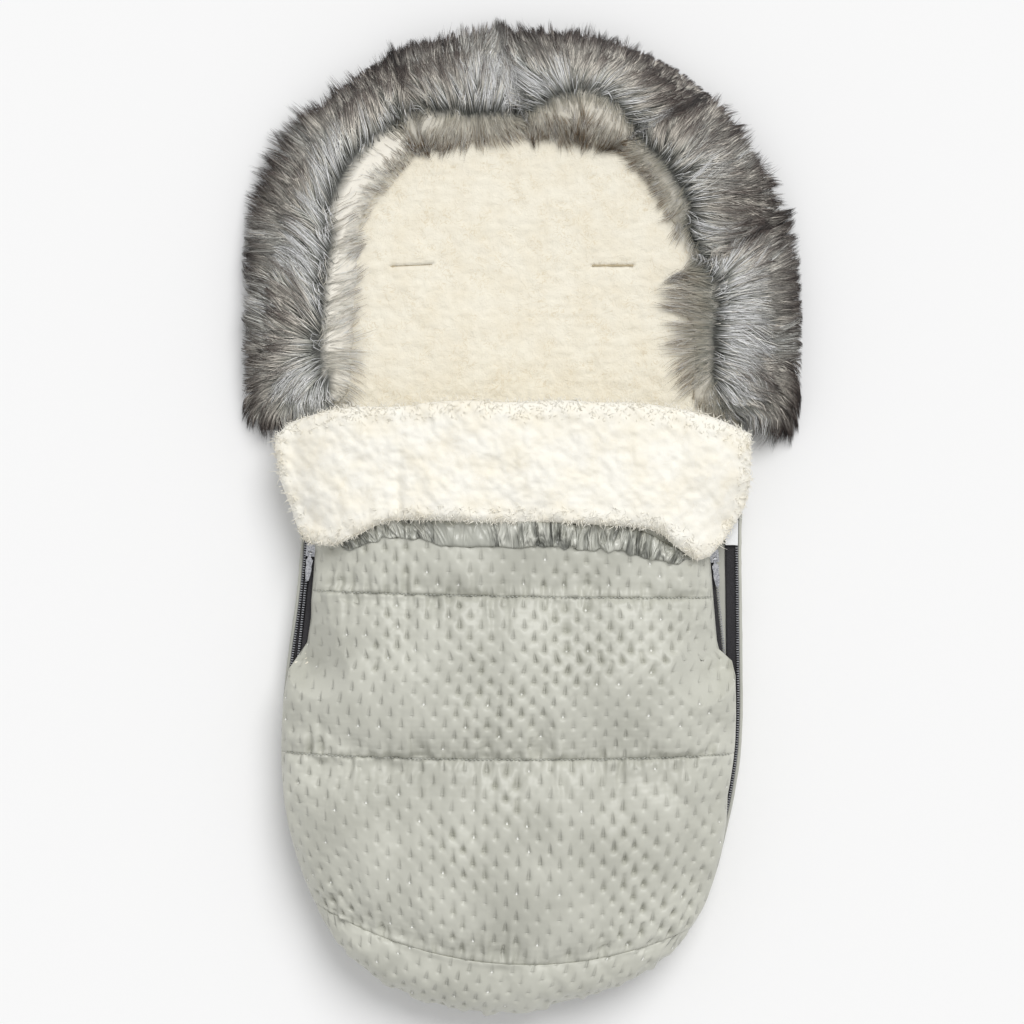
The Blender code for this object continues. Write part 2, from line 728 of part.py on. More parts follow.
def make_stops(side, word, cover):
    wall, reach = STOP_WALL, LAYER_GAP + STOP_LENGTH
    levels = (LOWER_TEETH_LEVEL, LOWER_TEETH_LEVEL + TEETH_HEIGHT)
    near, far = LOWER_TEETH_INSET - wall, LOWER_TEETH_INSET + TEETH_WIDTH + wall
    path = lower_path(side)
    block_on(path, side, near, far, *levels, reach, f"zip_{word}_lower_top_stop", "zip_metal")
    block_on(path[::-1], -side, near, far, *levels, reach, f"zip_{word}_bottom_stop", "zip_metal")
    half = TEETH_WIDTH / 2
    levels = (UPPER_TEETH_LEVEL, UPPER_TEETH_LEVEL + TEETH_HEIGHT)
    block_on(upper_path(side), side, -half - wall, half + wall, *levels, reach,
             f"zip_{word}_upper_top_stop", "zip_metal", cover)


def make_side_label():
    """A folded tab on the right tape's top end, left blank."""
    y = TOE_Y + LABEL_FROM_TOE
    low = LOWER_TEETH_LEVEL + TEETH_HEIGHT + LAYER_GAP
    loops = []
    for step in (0.0, LABEL_LENGTH):
        edge = outline_x(1, y + step) - LOWER_TEETH_INSET
        corners = ((edge, low), (edge - LABEL_WIDTH, low),
                   (edge - LABEL_WIDTH, low + LABEL_THICKNESS), (edge, low + LABEL_THICKNESS))
        loops.append([(x, y + step, height) for x, height in corners])
    loft("side_label", loops, "label", smooth=False)


# Sliders and pulls

def along_line(side, place):
    """A local place (outward, head, up) as a world place, about the slider's middle."""
    run = slider_direction(side)
    headward, outward = -run, np.array([-run[1], run[0]])
    outward = outward * (1 if outward[0] * side > 0 else -1)
    start = slider_start(side)
    x, y = start + outward * place[0] + headward * place[1]
    return (x, y, place[2])


def block_in_line(side, low, high):
    """A box in the slider's own directions, as a bmesh in world places."""
    bm = box_bmesh(low, high)
    for vert in bm.verts:
        vert.co = along_line(side, vert.co)
    return bm


def round_bar(side, radius, half, ahead, height, sides):
    """A round bar across the slider, centred over its middle line."""
    bm = bmesh.new()
    bmesh.ops.create_cone(bm, cap_ends=True, segments=sides, radius1=radius, radius2=radius,
                          depth=2 * half)
    turn = Matrix.Rotation(math.pi / 2, 4, "Y")
    bmesh.ops.transform(bm, matrix=turn, verts=bm.verts[:])
    for vert in bm.verts:
        vert.co = along_line(side, (vert.co.x, vert.co.y + ahead, vert.co.z + height))
    return bm


def slider_heights():
    """Levels of the slider: under the bottom plate, over it, under the top plate and over it."""
    under = UPPER_TEETH_LEVEL - SLIDER_CLEARANCE
    over = max(UPPER_TEETH_LEVEL + TEETH_HEIGHT, UPPER_TAPE_TOP) + SLIDER_CLEARANCE
    return under - SLIDER_PLATE, under, over, over + SLIDER_PLATE


def pull_axis(side):
    """The pin's middle, towards the toe end of the slider's top plate."""
    height = slider_heights()[3] + EAR_HEIGHT / 2
    return Vector(along_line(side, (0.0, -SLIDER_LENGTH / 4, height)))


def make_slider(side, word, pivot):
    bottom, low, high, top = slider_heights()
    half_wide, half_long = SLIDER_WIDTH / 2, SLIDER_LENGTH / 2
    post_near = TEETH_WIDTH / 2 + SLIDER_CLEARANCE
    post_far = post_near + POST_WIDTH
    eye = PULL_EYE_RADIUS + SLIDER_CLEARANCE
    pin_y = -SLIDER_LENGTH / 4
    pin_z = top + EAR_HEIGHT / 2
    top_plate = block_in_line(side, (-half_wide, -half_long, high), (half_wide, half_long, top))
    body = add_object(f"slider_{word}", top_plate, "zip_metal", pivot, smooth=False)
    pieces = [
        block_in_line(side, (-half_wide, -half_long, bottom), (post_far + POST_SETBACK, half_long, low)),
        block_in_line(side, (post_near, half_long - POST_LENGTH, bottom + SLIDER_PLATE / 2),
                      (post_far, half_long - POST_SETBACK, high + SLIDER_PLATE / 2)),
        round_bar(side, PIN_RADIUS, eye + EAR_WALL / 2, pin_y, pin_z, PIN_SIDES),
    ]
    for way in (-1, 1):
        near, far = sorted((way * eye, way * (eye + EAR_WALL)))
        pieces.append(block_in_line(
            side, (near, pin_y - EAR_LENGTH / 2, high + SLIDER_PLATE / 2),
            (far, pin_y + EAR_LENGTH / 2, top + EAR_HEIGHT)))
    for number, bm in enumerate(pieces):
        tool = add_object(f"slider_{word}_tool_{number}", bm, "zip_metal", pivot, smooth=False)
        boolean(body, tool, "UNION")


def make_pull(side, word, pivot):
    """A tapered pull with an eye round the slider's pin, lying towards the toe at rest."""
    axis = pull_axis(side)
    pin_y = -SLIDER_LENGTH / 4
    barrel = round_bar(side, PULL_EYE_RADIUS, PULL_EYE_RADIUS, pin_y, axis.z, EYE_SIDES)
    eye = add_object(f"pull_{word}", barrel, "zip_metal", pivot, smooth=False)
    stations = [(PULL_EYE_RADIUS * share, wide) for share, wide in PULL_NECK_SHARES]
    stations += [(PULL_LENGTH * share, wide) for share, wide in PULL_BODY_SHARES]
    stations.append((PULL_LENGTH, PULL_TIP_WIDTH / PULL_WIDTH))
    low = axis.z - PULL_THICKNESS / 2
    loops = []
    for distance, wide_share in stations:
        wide = PULL_WIDTH / 2 * wide_share
        y = pin_y - distance
        corners = ((-wide, low), (wide, low), (wide, low + PULL_THICKNESS), (-wide, low + PULL_THICKNESS))
        loops.append([along_line(side, (x, y, z)) for x, z in corners])
    tongue = loft(f"pull_{word}_tongue", loops, "zip_metal", pivot, smooth=False)
    boolean(eye, tongue, "UNION")
    hole = round_bar(side, PULL_EYE_BORE, PULL_WIDTH, pin_y, axis.z, EYE_SIDES)
    bore = add_object(f"pull_{word}_bore", hole, "zip_metal", pivot, smooth=False)
    boolean(eye, bore, "DIFFERENCE")


# Front cover

def cover_edge_x(side, y):
    """The cover's side: near the mat's outline, but drawn in beside the slider's run."""
    base = outline_x(side, y) - side * COVER_INSET
    line = slider_line_x(side, y) - side * (SLIDER_WIDTH / 2 + COVER_LINE_CLEARANCE)
    start = slider_start(side)[1] + 2 * SLIDER_LENGTH
    end = slider_start(side)[1] - SLIDER_TRAVEL - SLIDER_LENGTH - PULL_LENGTH
    open_share = (smooth_step(y, end - COVER_LINE_BLEND, end)
                  * (1.0 - smooth_step(y, start, start + COVER_LINE_BLEND)))
    drawn = base + (line - base) * open_share
    return min(base, drawn) if side > 0 else max(base, drawn)


def column_shares(count):
    """Shares across the cover from -1 to 1, closer together near both edges."""
    return [math.sin(0.5 * math.pi * (2.0 * number / count - 1.0)) for number in range(count + 1)]


def seam_row(values, across):
    """One row of places across the cover, from a seam's distance, tilt and rise."""
    from_toe, tilt, rise = values
    left_y = TOE_Y + from_toe + tilt
    right_y = TOE_Y + from_toe - tilt
    left_x, right_x = cover_edge_x(-1, left_y), cover_edge_x(1, right_y)
    row = []
    for share in across:
        x = left_x + (right_x - left_x) * (share + 1.0) / 2.0
        y = TOE_Y + from_toe - tilt * share + rise * (1.0 - share * share)
        row.append((x, y))
    return row


def channel_marks():
    """Shares along one channel: close rows beside its seams, wide ones between."""
    marks = [0.5 - 0.5 * math.cos(math.pi * number / CHANNEL_ROWS) for number in range(CHANNEL_ROWS)]
    return marks + [1.0]


def crown(share, power=CROWN_POWER):
    return math.sqrt(max(0.0, 1.0 - abs(share) ** power))


def cover_rows():
    """Plan rows with their heights, from the toe seam to the fold, and each channel's rows."""
    across = column_shares(COVER_COLUMNS)
    plan, tops, under, spans = [], [], [], []
    for number, puff in enumerate(CHANNEL_PUFFS):
        near, far = COVER_SEAM_ROWS[number], COVER_SEAM_ROWS[number + 1]
        length = far[0] - near[0]
        marks = channel_marks()
        marks[1], marks[-2] = SEAM_GAP / length, 1.0 - SEAM_GAP / length
        first = len(plan) - (1 if number else 0)
        for mark in marks[(1 if number else 0):]:
            values = [a + (b - a) * mark for a, b in zip(near, far)]
            swell = puff * math.sin(math.pi * mark) ** PUFF_POWER if 0.0 < mark < 1.0 else 0.0
            plan.append(seam_row(values[:3], across))
            tops.append(values[3] + swell)
            under.append(values[4])
        spans.append((first, len(plan) - 1))
    return across, plan, tops, under, spans


def edge_top():
    return COVER_EDGE_HEIGHT + COVER_EDGE_THICKNESS


def outer_height(share, top):
    return edge_top() + (top - edge_top()) * crown(share)


def under_height(share, under):
    margin = min(1.0, abs(share) / COVER_MARGIN_SHARE)
    return COVER_EDGE_HEIGHT + (under - COVER_EDGE_HEIGHT) * crown(margin)


def layer_heights(low, high):
    """Six levels from the underside to the outer skin: the bounds of lining, wadding and skin."""
    room = high - low
    lining = min(COVER_LINING_THICKNESS, LINING_ROOM_SHARE * room)
    skin = min(SKIN_THICKNESS, SKIN_ROOM_SHARE * room)
    return low, low + lining, low + lining + LAYER_GAP, high - skin - LAYER_GAP, high - skin, high


def layered_grids(plan, lows, highs):
    """Six grids of points over one plan, one for each level."""
    rows, columns = len(plan), len(plan[0])
    grids = np.zeros((6, rows, columns, 3))
    for row in range(rows):
        for column in range(columns):
            levels = layer_heights(lows[row][column], highs[row][column])
            for level, height in enumerate(levels):
                grids[level, row, column] = (*plan[row][column], height)
    return grids


def make_front(cover):
    across, plan, tops, under, spans = cover_rows()
    lows = [[under_height(share, height) for share in across] for height in under]
    highs = [[outer_height(share, height) for share in across] for height in tops]
    grids = layered_grids(plan, lows, highs)
    slab("front_lining", grids[0], grids[1], "sherpa", cover)
    for word, (first, last) in zip(("lower", "middle", "upper"), spans):
        rows = slice(first + 1, last)
        columns = slice(1, COVER_COLUMNS)
        slab(f"front_wadding_{word}", grids[2][rows, columns], grids[3][rows, columns], "wadding", cover)
    return slab("front_outer", grids[4], grids[5], "satin", cover)


def toe_arc(across):
    """Places along the toe's edge that face the toe seam, from the left tip to the right tip."""
    values = COVER_SEAM_ROWS[0]
    line = inset(OUTLINE, NORMALS, COVER_INSET)
    left_y = TOE_Y + values[0] + values[1] - GUSSET_TIP
    right_y = TOE_Y + values[0] - values[1] - GUSSET_TIP
    right = line[:HEAD_INDEX][line[:HEAD_INDEX, 1] < right_y]
    left = line[HEAD_INDEX:][line[HEAD_INDEX:, 1] < left_y]
    arc = np.vstack([left, right])
    run = np.concatenate([[0.0], np.cumsum(np.linalg.norm(np.diff(arc, axis=0), axis=1))])
    marks = [(share + 1.0) / 2.0 * run[-1] for share in across]
    return [(float(np.interp(mark, run, arc[:, 0])), float(np.interp(mark, run, arc[:, 1])))
            for mark in marks]


def make_gusset(cover):
    """The toe's end panel, between the toe seam and the zip."""
    across = [share * GUSSET_COLUMN_SHARE for share in column_shares(COVER_COLUMNS)]
    values = COVER_SEAM_ROWS[0]
    seam = seam_row(values[:3], across)
    toe = toe_arc(across)
    plan, lows, highs = [], [], []
    for number in range(GUSSET_ROWS + 1):
        mark = number / GUSSET_ROWS
        row, low, high = [], [], []
        for share, start, end in zip(across, seam, toe):
            gap = Vector(end) - Vector(start)
            place = Vector(start) + gap.normalized() * GUSSET_SEAM_GAP
            place = place.lerp(Vector(end), mark)
            row.append((place.x, place.y))
            fall = math.sqrt(max(0.0, 1.0 - mark * mark))
            swell = GUSSET_PUFF * math.sin(math.pi * mark) * crown(share)
            high.append(edge_top() + (outer_height(share, values[3]) - edge_top()) * fall + swell)
            low.append(COVER_EDGE_HEIGHT + (under_height(share, values[4]) - COVER_EDGE_HEIGHT) * fall)
        plan.append(row)
        lows.append(low)
        highs.append(high)
    grids = layered_grids(plan[::-1], lows[::-1], highs[::-1])
    slab("toe_gusset_lining", grids[0], grids[1], "sherpa", cover)
    rows, columns = slice(1, GUSSET_ROWS), slice(2, COVER_COLUMNS - 1)
    slab("toe_gusset_wadding", grids[2][rows, columns], grids[3][rows, columns], "wadding", cover)
    slab("toe_gusset_outer", grids[4], grids[5], "satin", cover)


# Cuff

def surface_under(item):
    """Finds the highest point of a piece, in world places, under a place on the plan."""
    bpy.context.view_layer.update()
    bm = bmesh.new()
    bm.from_mesh(item.data)
    bmesh.ops.transform(bm, matrix=item.matrix_world, verts=bm.verts[:])
    tree = BVHTree.FromBMesh(bm)
    bm.free()

    def height(x, y, search):
        best = edge_top()
        for step_x in np.linspace(-search, search, CUFF_PROBES):
            for step_y in np.linspace(-search, search, CUFF_PROBES):
                hit = tree.ray_cast(Vector((x + step_x, y + step_y, MAT_LENGTH)), Vector((0, 0, -1)))
                if hit[0] is not None:
                    best = max(best, hit[0].z)
        return best

    return height


def cuff_plan():
    """Plan rows of the turned-down cuff, from the fold to its free edge."""
    across = column_shares(CUFF_COLUMNS)
    fold, edge = TOE_Y + CUFF_FOLD_FROM_TOE, TOE_Y + CUFF_EDGE_FROM_TOE
    fold_rise = COVER_SEAM_ROWS[-1][2]
    plan = []
    for number in range(CUFF_ROWS + 1):
        mark = number / CUFF_ROWS
        taper = mark ** CUFF_TAPER_POWER
        left = -MAT_HALF_WIDTH - CUFF_LEFT_REACH + (CUFF_LEFT_REACH - CUFF_EDGE_LEFT_REACH) * taper
        right = MAT_HALF_WIDTH + CUFF_RIGHT_REACH + (CUFF_EDGE_RIGHT_REACH - CUFF_RIGHT_REACH) * taper
        row = []
        for share in across:
            x = left + (right - left) * (share + 1.0) / 2.0
            top_y = fold + fold_rise * (1.0 - share * share)
            low_y = edge - CUFF_EDGE_TILT * share + CUFF_EDGE_RISE * (1.0 - share ** CUFF_RISE_POWER)
            row.append((x, top_y + (low_y - top_y) * mark))
        plan.append(row)
    return across, plan


def make_cuff(front, pivot):
    height = surface_under(front)
    across, plan = cuff_plan()
    rows, columns = len(plan), len(plan[0])
    levels = np.zeros((6, rows, columns, 3))
    for row in range(rows):
        mark = row / (rows - 1)
        along = min(1.0, CUFF_END_STEEPNESS * min(mark, 1.0 - mark) + CUFF_END_SHARE)
        for column in range(columns):
            x, y = plan[row][column]
            base = height(x, y, CUFF_SEARCH) + CUFF_LIFT
            soft = crown(across[column], CUFF_CROWN_POWER) * along
            facing = base + CUFF_FACING
            low = facing + LAYER_GAP
            high = low + CUFF_WADDING * soft
            sherpa = high + LAYER_GAP
            thick = CUFF_SHERPA_EDGE + (CUFF_SHERPA - CUFF_SHERPA_EDGE) * math.sqrt(soft)
            for level, value in enumerate((base, facing, low, high, sherpa, sherpa + thick)):
                levels[level, row, column] = (x, y, value)
    slab("cuff_facing", levels[0], levels[1], "satin", pivot)
    inner_rows, inner_columns = slice(1, rows - 1), slice(1, columns - 1)
    slab("cuff_wadding", levels[2][inner_rows, inner_columns], levels[3][inner_rows, inner_columns],
         "wadding", pivot)
    slab("cuff_sherpa", levels[4], levels[5], "sherpa", pivot)
    return height, plan[-1]


def hem_loops(stations, wide, tall, shrink):
    """Flat rounded sections across the hem, one for each station along the cuff's edge."""
    loops = []
    half_wide, half_tall = wide / 2 - shrink, tall / 2 - shrink
    for x, y, z in stations:
        middle_y = y - HEM_GAP - wide / 2
        middle_z = z + tall / 2
        loop = []
        for step in range(HEM_SIDES):
            angle = math.pi / HEM_SIDES * (1 + 2 * step)
            reach_y = max(-1.0, min(1.0, HEM_FLAT_SHARES[0] * math.cos(angle)))
            reach_z = max(-1.0, min(1.0, HEM_FLAT_SHARES[1] * math.sin(angle)))
            loop.append((x, middle_y + half_wide * reach_y, middle_z + half_tall * reach_z))
        loops.append(loop)
    return loops


def make_hem(height, edge_row, pivot):
    """The satin tunnel along the cuff's free edge, with its elastic inside."""
    line = even_steps(np.array(edge_row), OUTLINE_POINTS)
    left, right = line[0][0] + HEM_END, line[-1][0] - HEM_END
    stations = []
    for number in range(HEM_STATIONS + 1):
        x = left + (right - left) * number / HEM_STATIONS
        y = float(np.interp(x, line[:, 0], line[:, 1]))
        search = (right - left) / HEM_STATIONS / 2
        level = max(height(x, y - HEM_GAP - share * HEM_WIDTH, search) for share in (0.0, 0.5, 1.0))
        stations.append((x, y, level + CUFF_LIFT))
    outer = hem_loops(stations, HEM_WIDTH, HEM_HEIGHT, 0.0)
    inner = hem_loops(stations, HEM_WIDTH, HEM_HEIGHT, HEM_WALL)
    ring_tube("hem_casing", outer, inner, "satin", pivot)
    loops = []
    for x, y, z in stations:
        middle_y = y - HEM_GAP - HEM_WIDTH / 2
        low = z + HEM_HEIGHT / 2 - ELASTIC_THICKNESS / 2
        corners = ((middle_y - ELASTIC_WIDTH / 2, low), (middle_y + ELASTIC_WIDTH / 2, low),
                   (middle_y + ELASTIC_WIDTH / 2, low + ELASTIC_THICKNESS),
                   (middle_y - ELASTIC_WIDTH / 2, low + ELASTIC_THICKNESS))
        loops.append([(x, side_y, side_z) for side_y, side_z in corners])
    loft("hem_elastic", loops, "elastic", pivot, smooth=False)


def fold_axis():
    fold = COVER_SEAM_ROWS[-1]
    return (0.0, TOE_Y + fold[0] + fold[2] + FOLD_AXIS_AHEAD, fold[3] + FOLD_AXIS_ABOVE)


def main():
    clear_scene()
    cover = add_pivot("cover_axis", (0.0, TOE_Y, HINGE_HEIGHT))
    cuff = add_pivot("cuff_axis", fold_axis(), cover)
    layers = [make_back_outer(), make_back_wadding(), make_back_lining()]
    cut_slots(layers)
    make_slot_stitching(-1, "slot_stitching_left")
    make_slot_stitching(1, "slot_stitching_right")
    make_fur_backing()
    make_fur()
    for side, word in ((-1, "left"), (1, "right")):
        make_zip(side, word, cover)
        make_stops(side, word, cover)
        slider = add_pivot(f"slider_{word}_axis", along_line(side, (0.0, 0.0, HINGE_HEIGHT)), cover)
        make_slider(side, word, slider)
        make_pull(side, word, add_pivot(f"pull_{word}_axis", pull_axis(side), slider))
    make_side_label()
    front = make_front(cover)
    make_gusset(cover)
    height, edge_row = make_cuff(front, cuff)
    make_hem(height, edge_row, cuff)


main()
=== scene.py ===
import json
import math

import bmesh
import bpy
import numpy as np
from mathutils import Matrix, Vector
from mathutils.bvhtree import BVHTree


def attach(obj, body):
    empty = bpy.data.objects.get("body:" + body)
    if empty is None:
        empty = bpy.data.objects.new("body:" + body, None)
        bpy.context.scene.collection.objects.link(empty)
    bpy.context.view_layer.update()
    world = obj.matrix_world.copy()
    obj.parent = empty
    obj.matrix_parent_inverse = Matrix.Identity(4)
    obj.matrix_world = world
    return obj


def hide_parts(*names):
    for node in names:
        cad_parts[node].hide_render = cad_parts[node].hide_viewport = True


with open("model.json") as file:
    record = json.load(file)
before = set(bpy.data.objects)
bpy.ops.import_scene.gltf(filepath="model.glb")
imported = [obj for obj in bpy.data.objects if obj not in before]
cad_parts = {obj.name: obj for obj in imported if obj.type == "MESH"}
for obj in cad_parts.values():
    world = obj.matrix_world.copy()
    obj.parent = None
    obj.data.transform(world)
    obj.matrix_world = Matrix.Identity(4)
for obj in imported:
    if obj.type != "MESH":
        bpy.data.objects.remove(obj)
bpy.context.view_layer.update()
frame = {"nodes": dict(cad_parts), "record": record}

# Footmuff on its back, seen from above: +Y is the head end, lengths in metres.
# Plan lines are written in millimetres of the top view, from its left and top edges.
nodes = frame["nodes"]
toeY = -0.488
middleAcross, middleDown = 521.5, 522      # the frame's origin in the top view


def plan(points):
    return [((across - middleAcross) / 1000, (middleDown - down) / 1000) for across, down in points]


def downAt(y):
    return middleDown - np.asarray(y) * 1000


# ---- lines and noise

def smoothLine(points, count, closed=False):
    ring = np.array(points, float)
    if closed:
        ring = np.vstack([ring[-1:], ring, ring[:2]])
    else:
        ring = np.vstack([2 * ring[0] - ring[1], ring, 2 * ring[-1] - ring[-2]])
    share = np.linspace(0, 1, 20, endpoint=False)[:, None]
    rows = []
    for a, b, c, d in zip(ring, ring[1:], ring[2:], ring[3:]):
        rows.append(0.5 * (2 * b + (c - a) * share + (2 * a - 5 * b + 4 * c - d) * share ** 2
                           + (3 * b - a - 3 * c + d) * share ** 3))
    return evenLine(np.vstack(rows + [ring[-2:-1]]), count, closed)


def runOf(line):
    # length so far at each place of a line
    return np.concatenate([[0], np.cumsum(np.linalg.norm(np.diff(line, axis=0), axis=1))])


def evenLine(line, count, closed=False):
    line = np.asarray(line, float)
    run = runOf(line)
    marks = np.linspace(0, run[-1], count, endpoint=not closed)
    return np.column_stack([np.interp(marks, run, line[:, axis]) for axis in range(line.shape[1])])


def unit(vectors):
    return vectors / np.maximum(np.linalg.norm(vectors, axis=-1, keepdims=True), 1e-12)


def nearestOn(points, line):
    # the number of the line's place that is nearest to each point, some thousand points at a time
    at = np.empty(len(points), int)
    for first in range(0, len(points), 4000):
        part = points[first:first + 4000]
        at[first:first + 4000] = ((part[:, None, :] - line[None]) ** 2).sum(2).argmin(1)
    return at


def lineNormals(line, closed=False):
    ahead = np.roll(line, -1, 0) - np.roll(line, 1, 0) if closed else np.gradient(line, axis=0)
    return unit(np.column_stack([-ahead[:, 1], ahead[:, 0]]))


def step(value, low, high):
    share = np.clip((np.asarray(value, float) - low) / (high - low), 0, 1)
    return share * share * (3 - 2 * share)


def grain(points, size, seed):
    # smooth random values from -1 to 1, with lumps of about this size
    spot = np.atleast_2d(np.asarray(points, float)) / size
    if spot.shape[1] < 3:
        spot = np.column_stack([spot, np.zeros((len(spot), 3 - spot.shape[1]))])
    cell = np.floor(spot).astype(np.int64)
    part = spot - cell
    part = part * part * (3 - 2 * part)
    total = np.zeros(len(spot))
    for corner in range(8):
        bits = np.array([(corner >> axis) & 1 for axis in range(3)])
        at = cell + bits
        mixed = (at[:, 0] * 73856093) ^ (at[:, 1] * 19349663) ^ (at[:, 2] * 83492791) ^ (seed * 2654435 + 97)
        mixed = (mixed ^ (mixed >> 13)) * 1274126177 & 0x7FFFFFFF
        mixed = (mixed ^ (mixed >> 16)) % 65536
        weight = np.prod(np.where(bits, part, 1 - part), axis=1)
        total += weight * (mixed / 32767.5 - 1)
    return total


def weave(along, down, size, seed):
    # grain over a grid, by the cloth's own distances
    return grain(np.column_stack([along.ravel(), down.ravel()]), size, seed).reshape(along.shape)


def pile(points, lump, seed):
    # curled pile: round nubs with thin creases between them, from 0 to about 1
    big = np.abs(grain(points, lump, seed)) ** 0.6
    small = np.abs(grain(points, lump * 0.45, seed + 5)) ** 0.7
    return 0.62 * big + 0.38 * small


# ---- meshes

def newPiece(name, mesh, look, body, smooth=True):
    piece = linked(name, mesh)
    mesh.materials.clear()
    mesh.materials.append(look)
    if smooth:
        mesh.shade_smooth()
    if body:
        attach(piece, body)
    return piece


def meshOf(bm, name):
    mesh = bpy.data.meshes.new(name)
    bm.to_mesh(mesh)
    bm.free()
    return mesh


def readOut(items, name, kind=float):
    values = np.zeros(len(items) * 3, kind)
    items.foreach_get(name, values)
    return values.reshape(-1, 3)


def places(mesh):
    return readOut(mesh.vertices, "co")


def place(mesh, spots):
    mesh.vertices.foreach_set("co", np.asarray(spots, np.float64).ravel())
    mesh.update()


def merged(name):
    bm = bmesh.new()
    bm.from_mesh(nodes[name].data)
    bmesh.ops.remove_doubles(bm, verts=bm.verts[:], dist=1e-5)
    return bm


def triangles(mesh):
    mesh.calc_loop_triangles()
    return readOut(mesh.loop_triangles, "vertices", np.int32)


def turnOut(mesh):
    # faces of a closed piece point outwards: its volume counts positive
    a, b, c = places(mesh)[triangles(mesh)].transpose(1, 0, 2)
    if (a * np.cross(b, c)).sum() < 0:
        mesh.flip_normals()


def gridPlaces(spots, rows, columns):
    # row and column of each corner of a unit grid
    return [np.rint((spots[:, axis] + 0.5) * count).astype(int) for axis, count in ((1, rows), (0, columns))]


def slabMesh(name, lower, upper, cloth=None):
    # a closed sheet between two grids of places; cloth gives each place's own millimetres
    rows, columns = lower.shape[0] - 1, lower.shape[1] - 1
    bm = bmesh.new()
    bmesh.ops.create_grid(bm, x_segments=columns, y_segments=rows, size=0.5)
    made = bmesh.ops.extrude_face_region(bm, geom=bm.faces[:], use_keep_orig=True)["geom"]
    bmesh.ops.translate(bm, vec=(0, 0, 1), verts=[v for v in made if isinstance(v, bmesh.types.BMVert)])
    bmesh.ops.recalc_face_normals(bm, faces=bm.faces[:])
    mesh = meshOf(bm, name)
    spots = places(mesh)
    row, column = gridPlaces(spots, rows, columns)
    above = spots[:, 2] > 0.5
    place(mesh, np.where(above[:, None], upper[row, column], lower[row, column]))
    turnOut(mesh)
    if cloth is not None:
        corner = np.zeros(len(mesh.loops), np.int32)
        mesh.loops.foreach_get("vertex_index", corner)
        layer = mesh.uv_layers.new(name="cloth")
        layer.data.foreach_set("uv", cloth[row, column][corner].astype(np.float32).ravel())
    return mesh


def linked(name, data):
    item = bpy.data.objects.new(name, data)
    bpy.context.scene.collection.objects.link(item)
    return item


def copies(name, template, count):
    # one mesh that holds many copies of a small one, by an Array modifier
    holder = linked(name, meshOf(template, name))
    array = holder.modifiers.new("copies", "ARRAY")
    array.count = count
    array.use_relative_offset = False
    array.use_constant_offset = True
    array.constant_offset_displace = (0, 0, 0)
    bpy.context.view_layer.update()
    mesh = bpy.data.meshes.new_from_object(holder.evaluated_get(bpy.context.evaluated_depsgraph_get()))
    old = holder.data
    bpy.data.objects.remove(holder)
    bpy.data.meshes.remove(old)
    return mesh


def gathered(meshes):
    bm = bmesh.new()
    for mesh in meshes:
        bm.from_mesh(mesh)
    return bm


def joined(name, meshes):
    return meshOf(gathered(meshes), name)


def treeOf(*meshes):
    bm = gathered(meshes)
    tree = BVHTree.FromBMesh(bm)
    bm.free()
    return tree


def heightMap(tree, xs, ys, down=True, empty=np.nan):
    # the first surface met under (or over) each place of a grid
    start, way = (0.5, Vector((0, 0, -1))) if down else (-0.1, Vector((0, 0, 1)))
    values = np.full((len(ys), len(xs)), empty)
    for r, y in enumerate(ys):
        for c, x in enumerate(xs):
            hit = tree.ray_cast(Vector((x, y, start)), way)[0]
            if hit is not None:
                values[r, c] = hit.z
    return values


def beside(values):
    # each place's four neighbours in a grid
    padded = np.pad(values, 1, mode="edge")
    return np.stack([padded[:-2, 1:-1], padded[2:, 1:-1], padded[1:-1, :-2], padded[1:-1, 2:]])


def filled(values, rounds=60):
    values = values.copy()
    for _ in range(rounds):
        holes = np.isnan(values)
        if not holes.any():
            break
        around = beside(values)
        count = (~np.isnan(around)).sum(0)
        values = np.where(holes & (count > 0), np.nansum(around, axis=0) / np.maximum(count, 1), values)
    return values


def blurred(values, rounds):
    for _ in range(rounds):
        values = (beside(values).sum(0) + 4 * values) / 8
    return values


def readMap(values, xs, ys, points):
    column = np.clip((points[:, 0] - xs[0]) / (xs[1] - xs[0]), 0, len(xs) - 1.001)
    row = np.clip((points[:, 1] - ys[0]) / (ys[1] - ys[0]), 0, len(ys) - 1.001)
    c, r = column.astype(int), row.astype(int)
    u, v = column - c, row - r
    return ((values[r, c] * (1 - u) + values[r, c + 1] * u) * (1 - v)
            + (values[r + 1, c] * (1 - u) + values[r + 1, c + 1] * u) * v)


cover = {
    # each seam: distance from the toe, tilt and rise of its line, height of the satin and of the underside
    "rows": [(0.0975, 0.0125, -0.0445, 0.0800, 0.0600), (0.2590, 0.0010, -0.0040, 0.0900, 0.0660),
             (0.4165, 0.0035, -0.0015, 0.0850, 0.0600), (0.5760, 0.0000, 0.0290, 0.0720, 0.0500)],
    "puffs": (0.0110, 0.0100, 0.0060),
    "names": ("lower", "middle", "upper"),
    "columns": 320,
    "rowSpacing": 0.0016,
    "stitchPitch": 0.0040,
    "edgeZ": 0.0345,
    "edgeRise": 0.0062,
    "runEnd": (655, 690),   # past the end of a slider's run, down the top view
    "skinLining": 0.0046,
    "dot": 0.0104,          # half the dots' spacing
    "dotDepth": 0.0011,
    "puckerDepth": 0.0017,
    "creaseDepth": 0.0006,
    "valleyDepth": 0.0004,
    "blown": 0.55,          # the puff left to the cloth simulation's pressure
    "settle": (0.009, 0.009, 0.005),
    "calm": (1.35, 1.0, 1.0),
}


# ---- cloth simulation

clothSettings = {
    "quality": 6,
    "mass": 0.2,
    "tension_stiffness": 20,
    "compression_stiffness": 20,
    "shear_stiffness": 6,
    "bending_stiffness": 0.06,
    "air_damping": 3.0,
    "vertex_group_mass": "held",
    "use_pressure": True,
}
clothFrames = 20


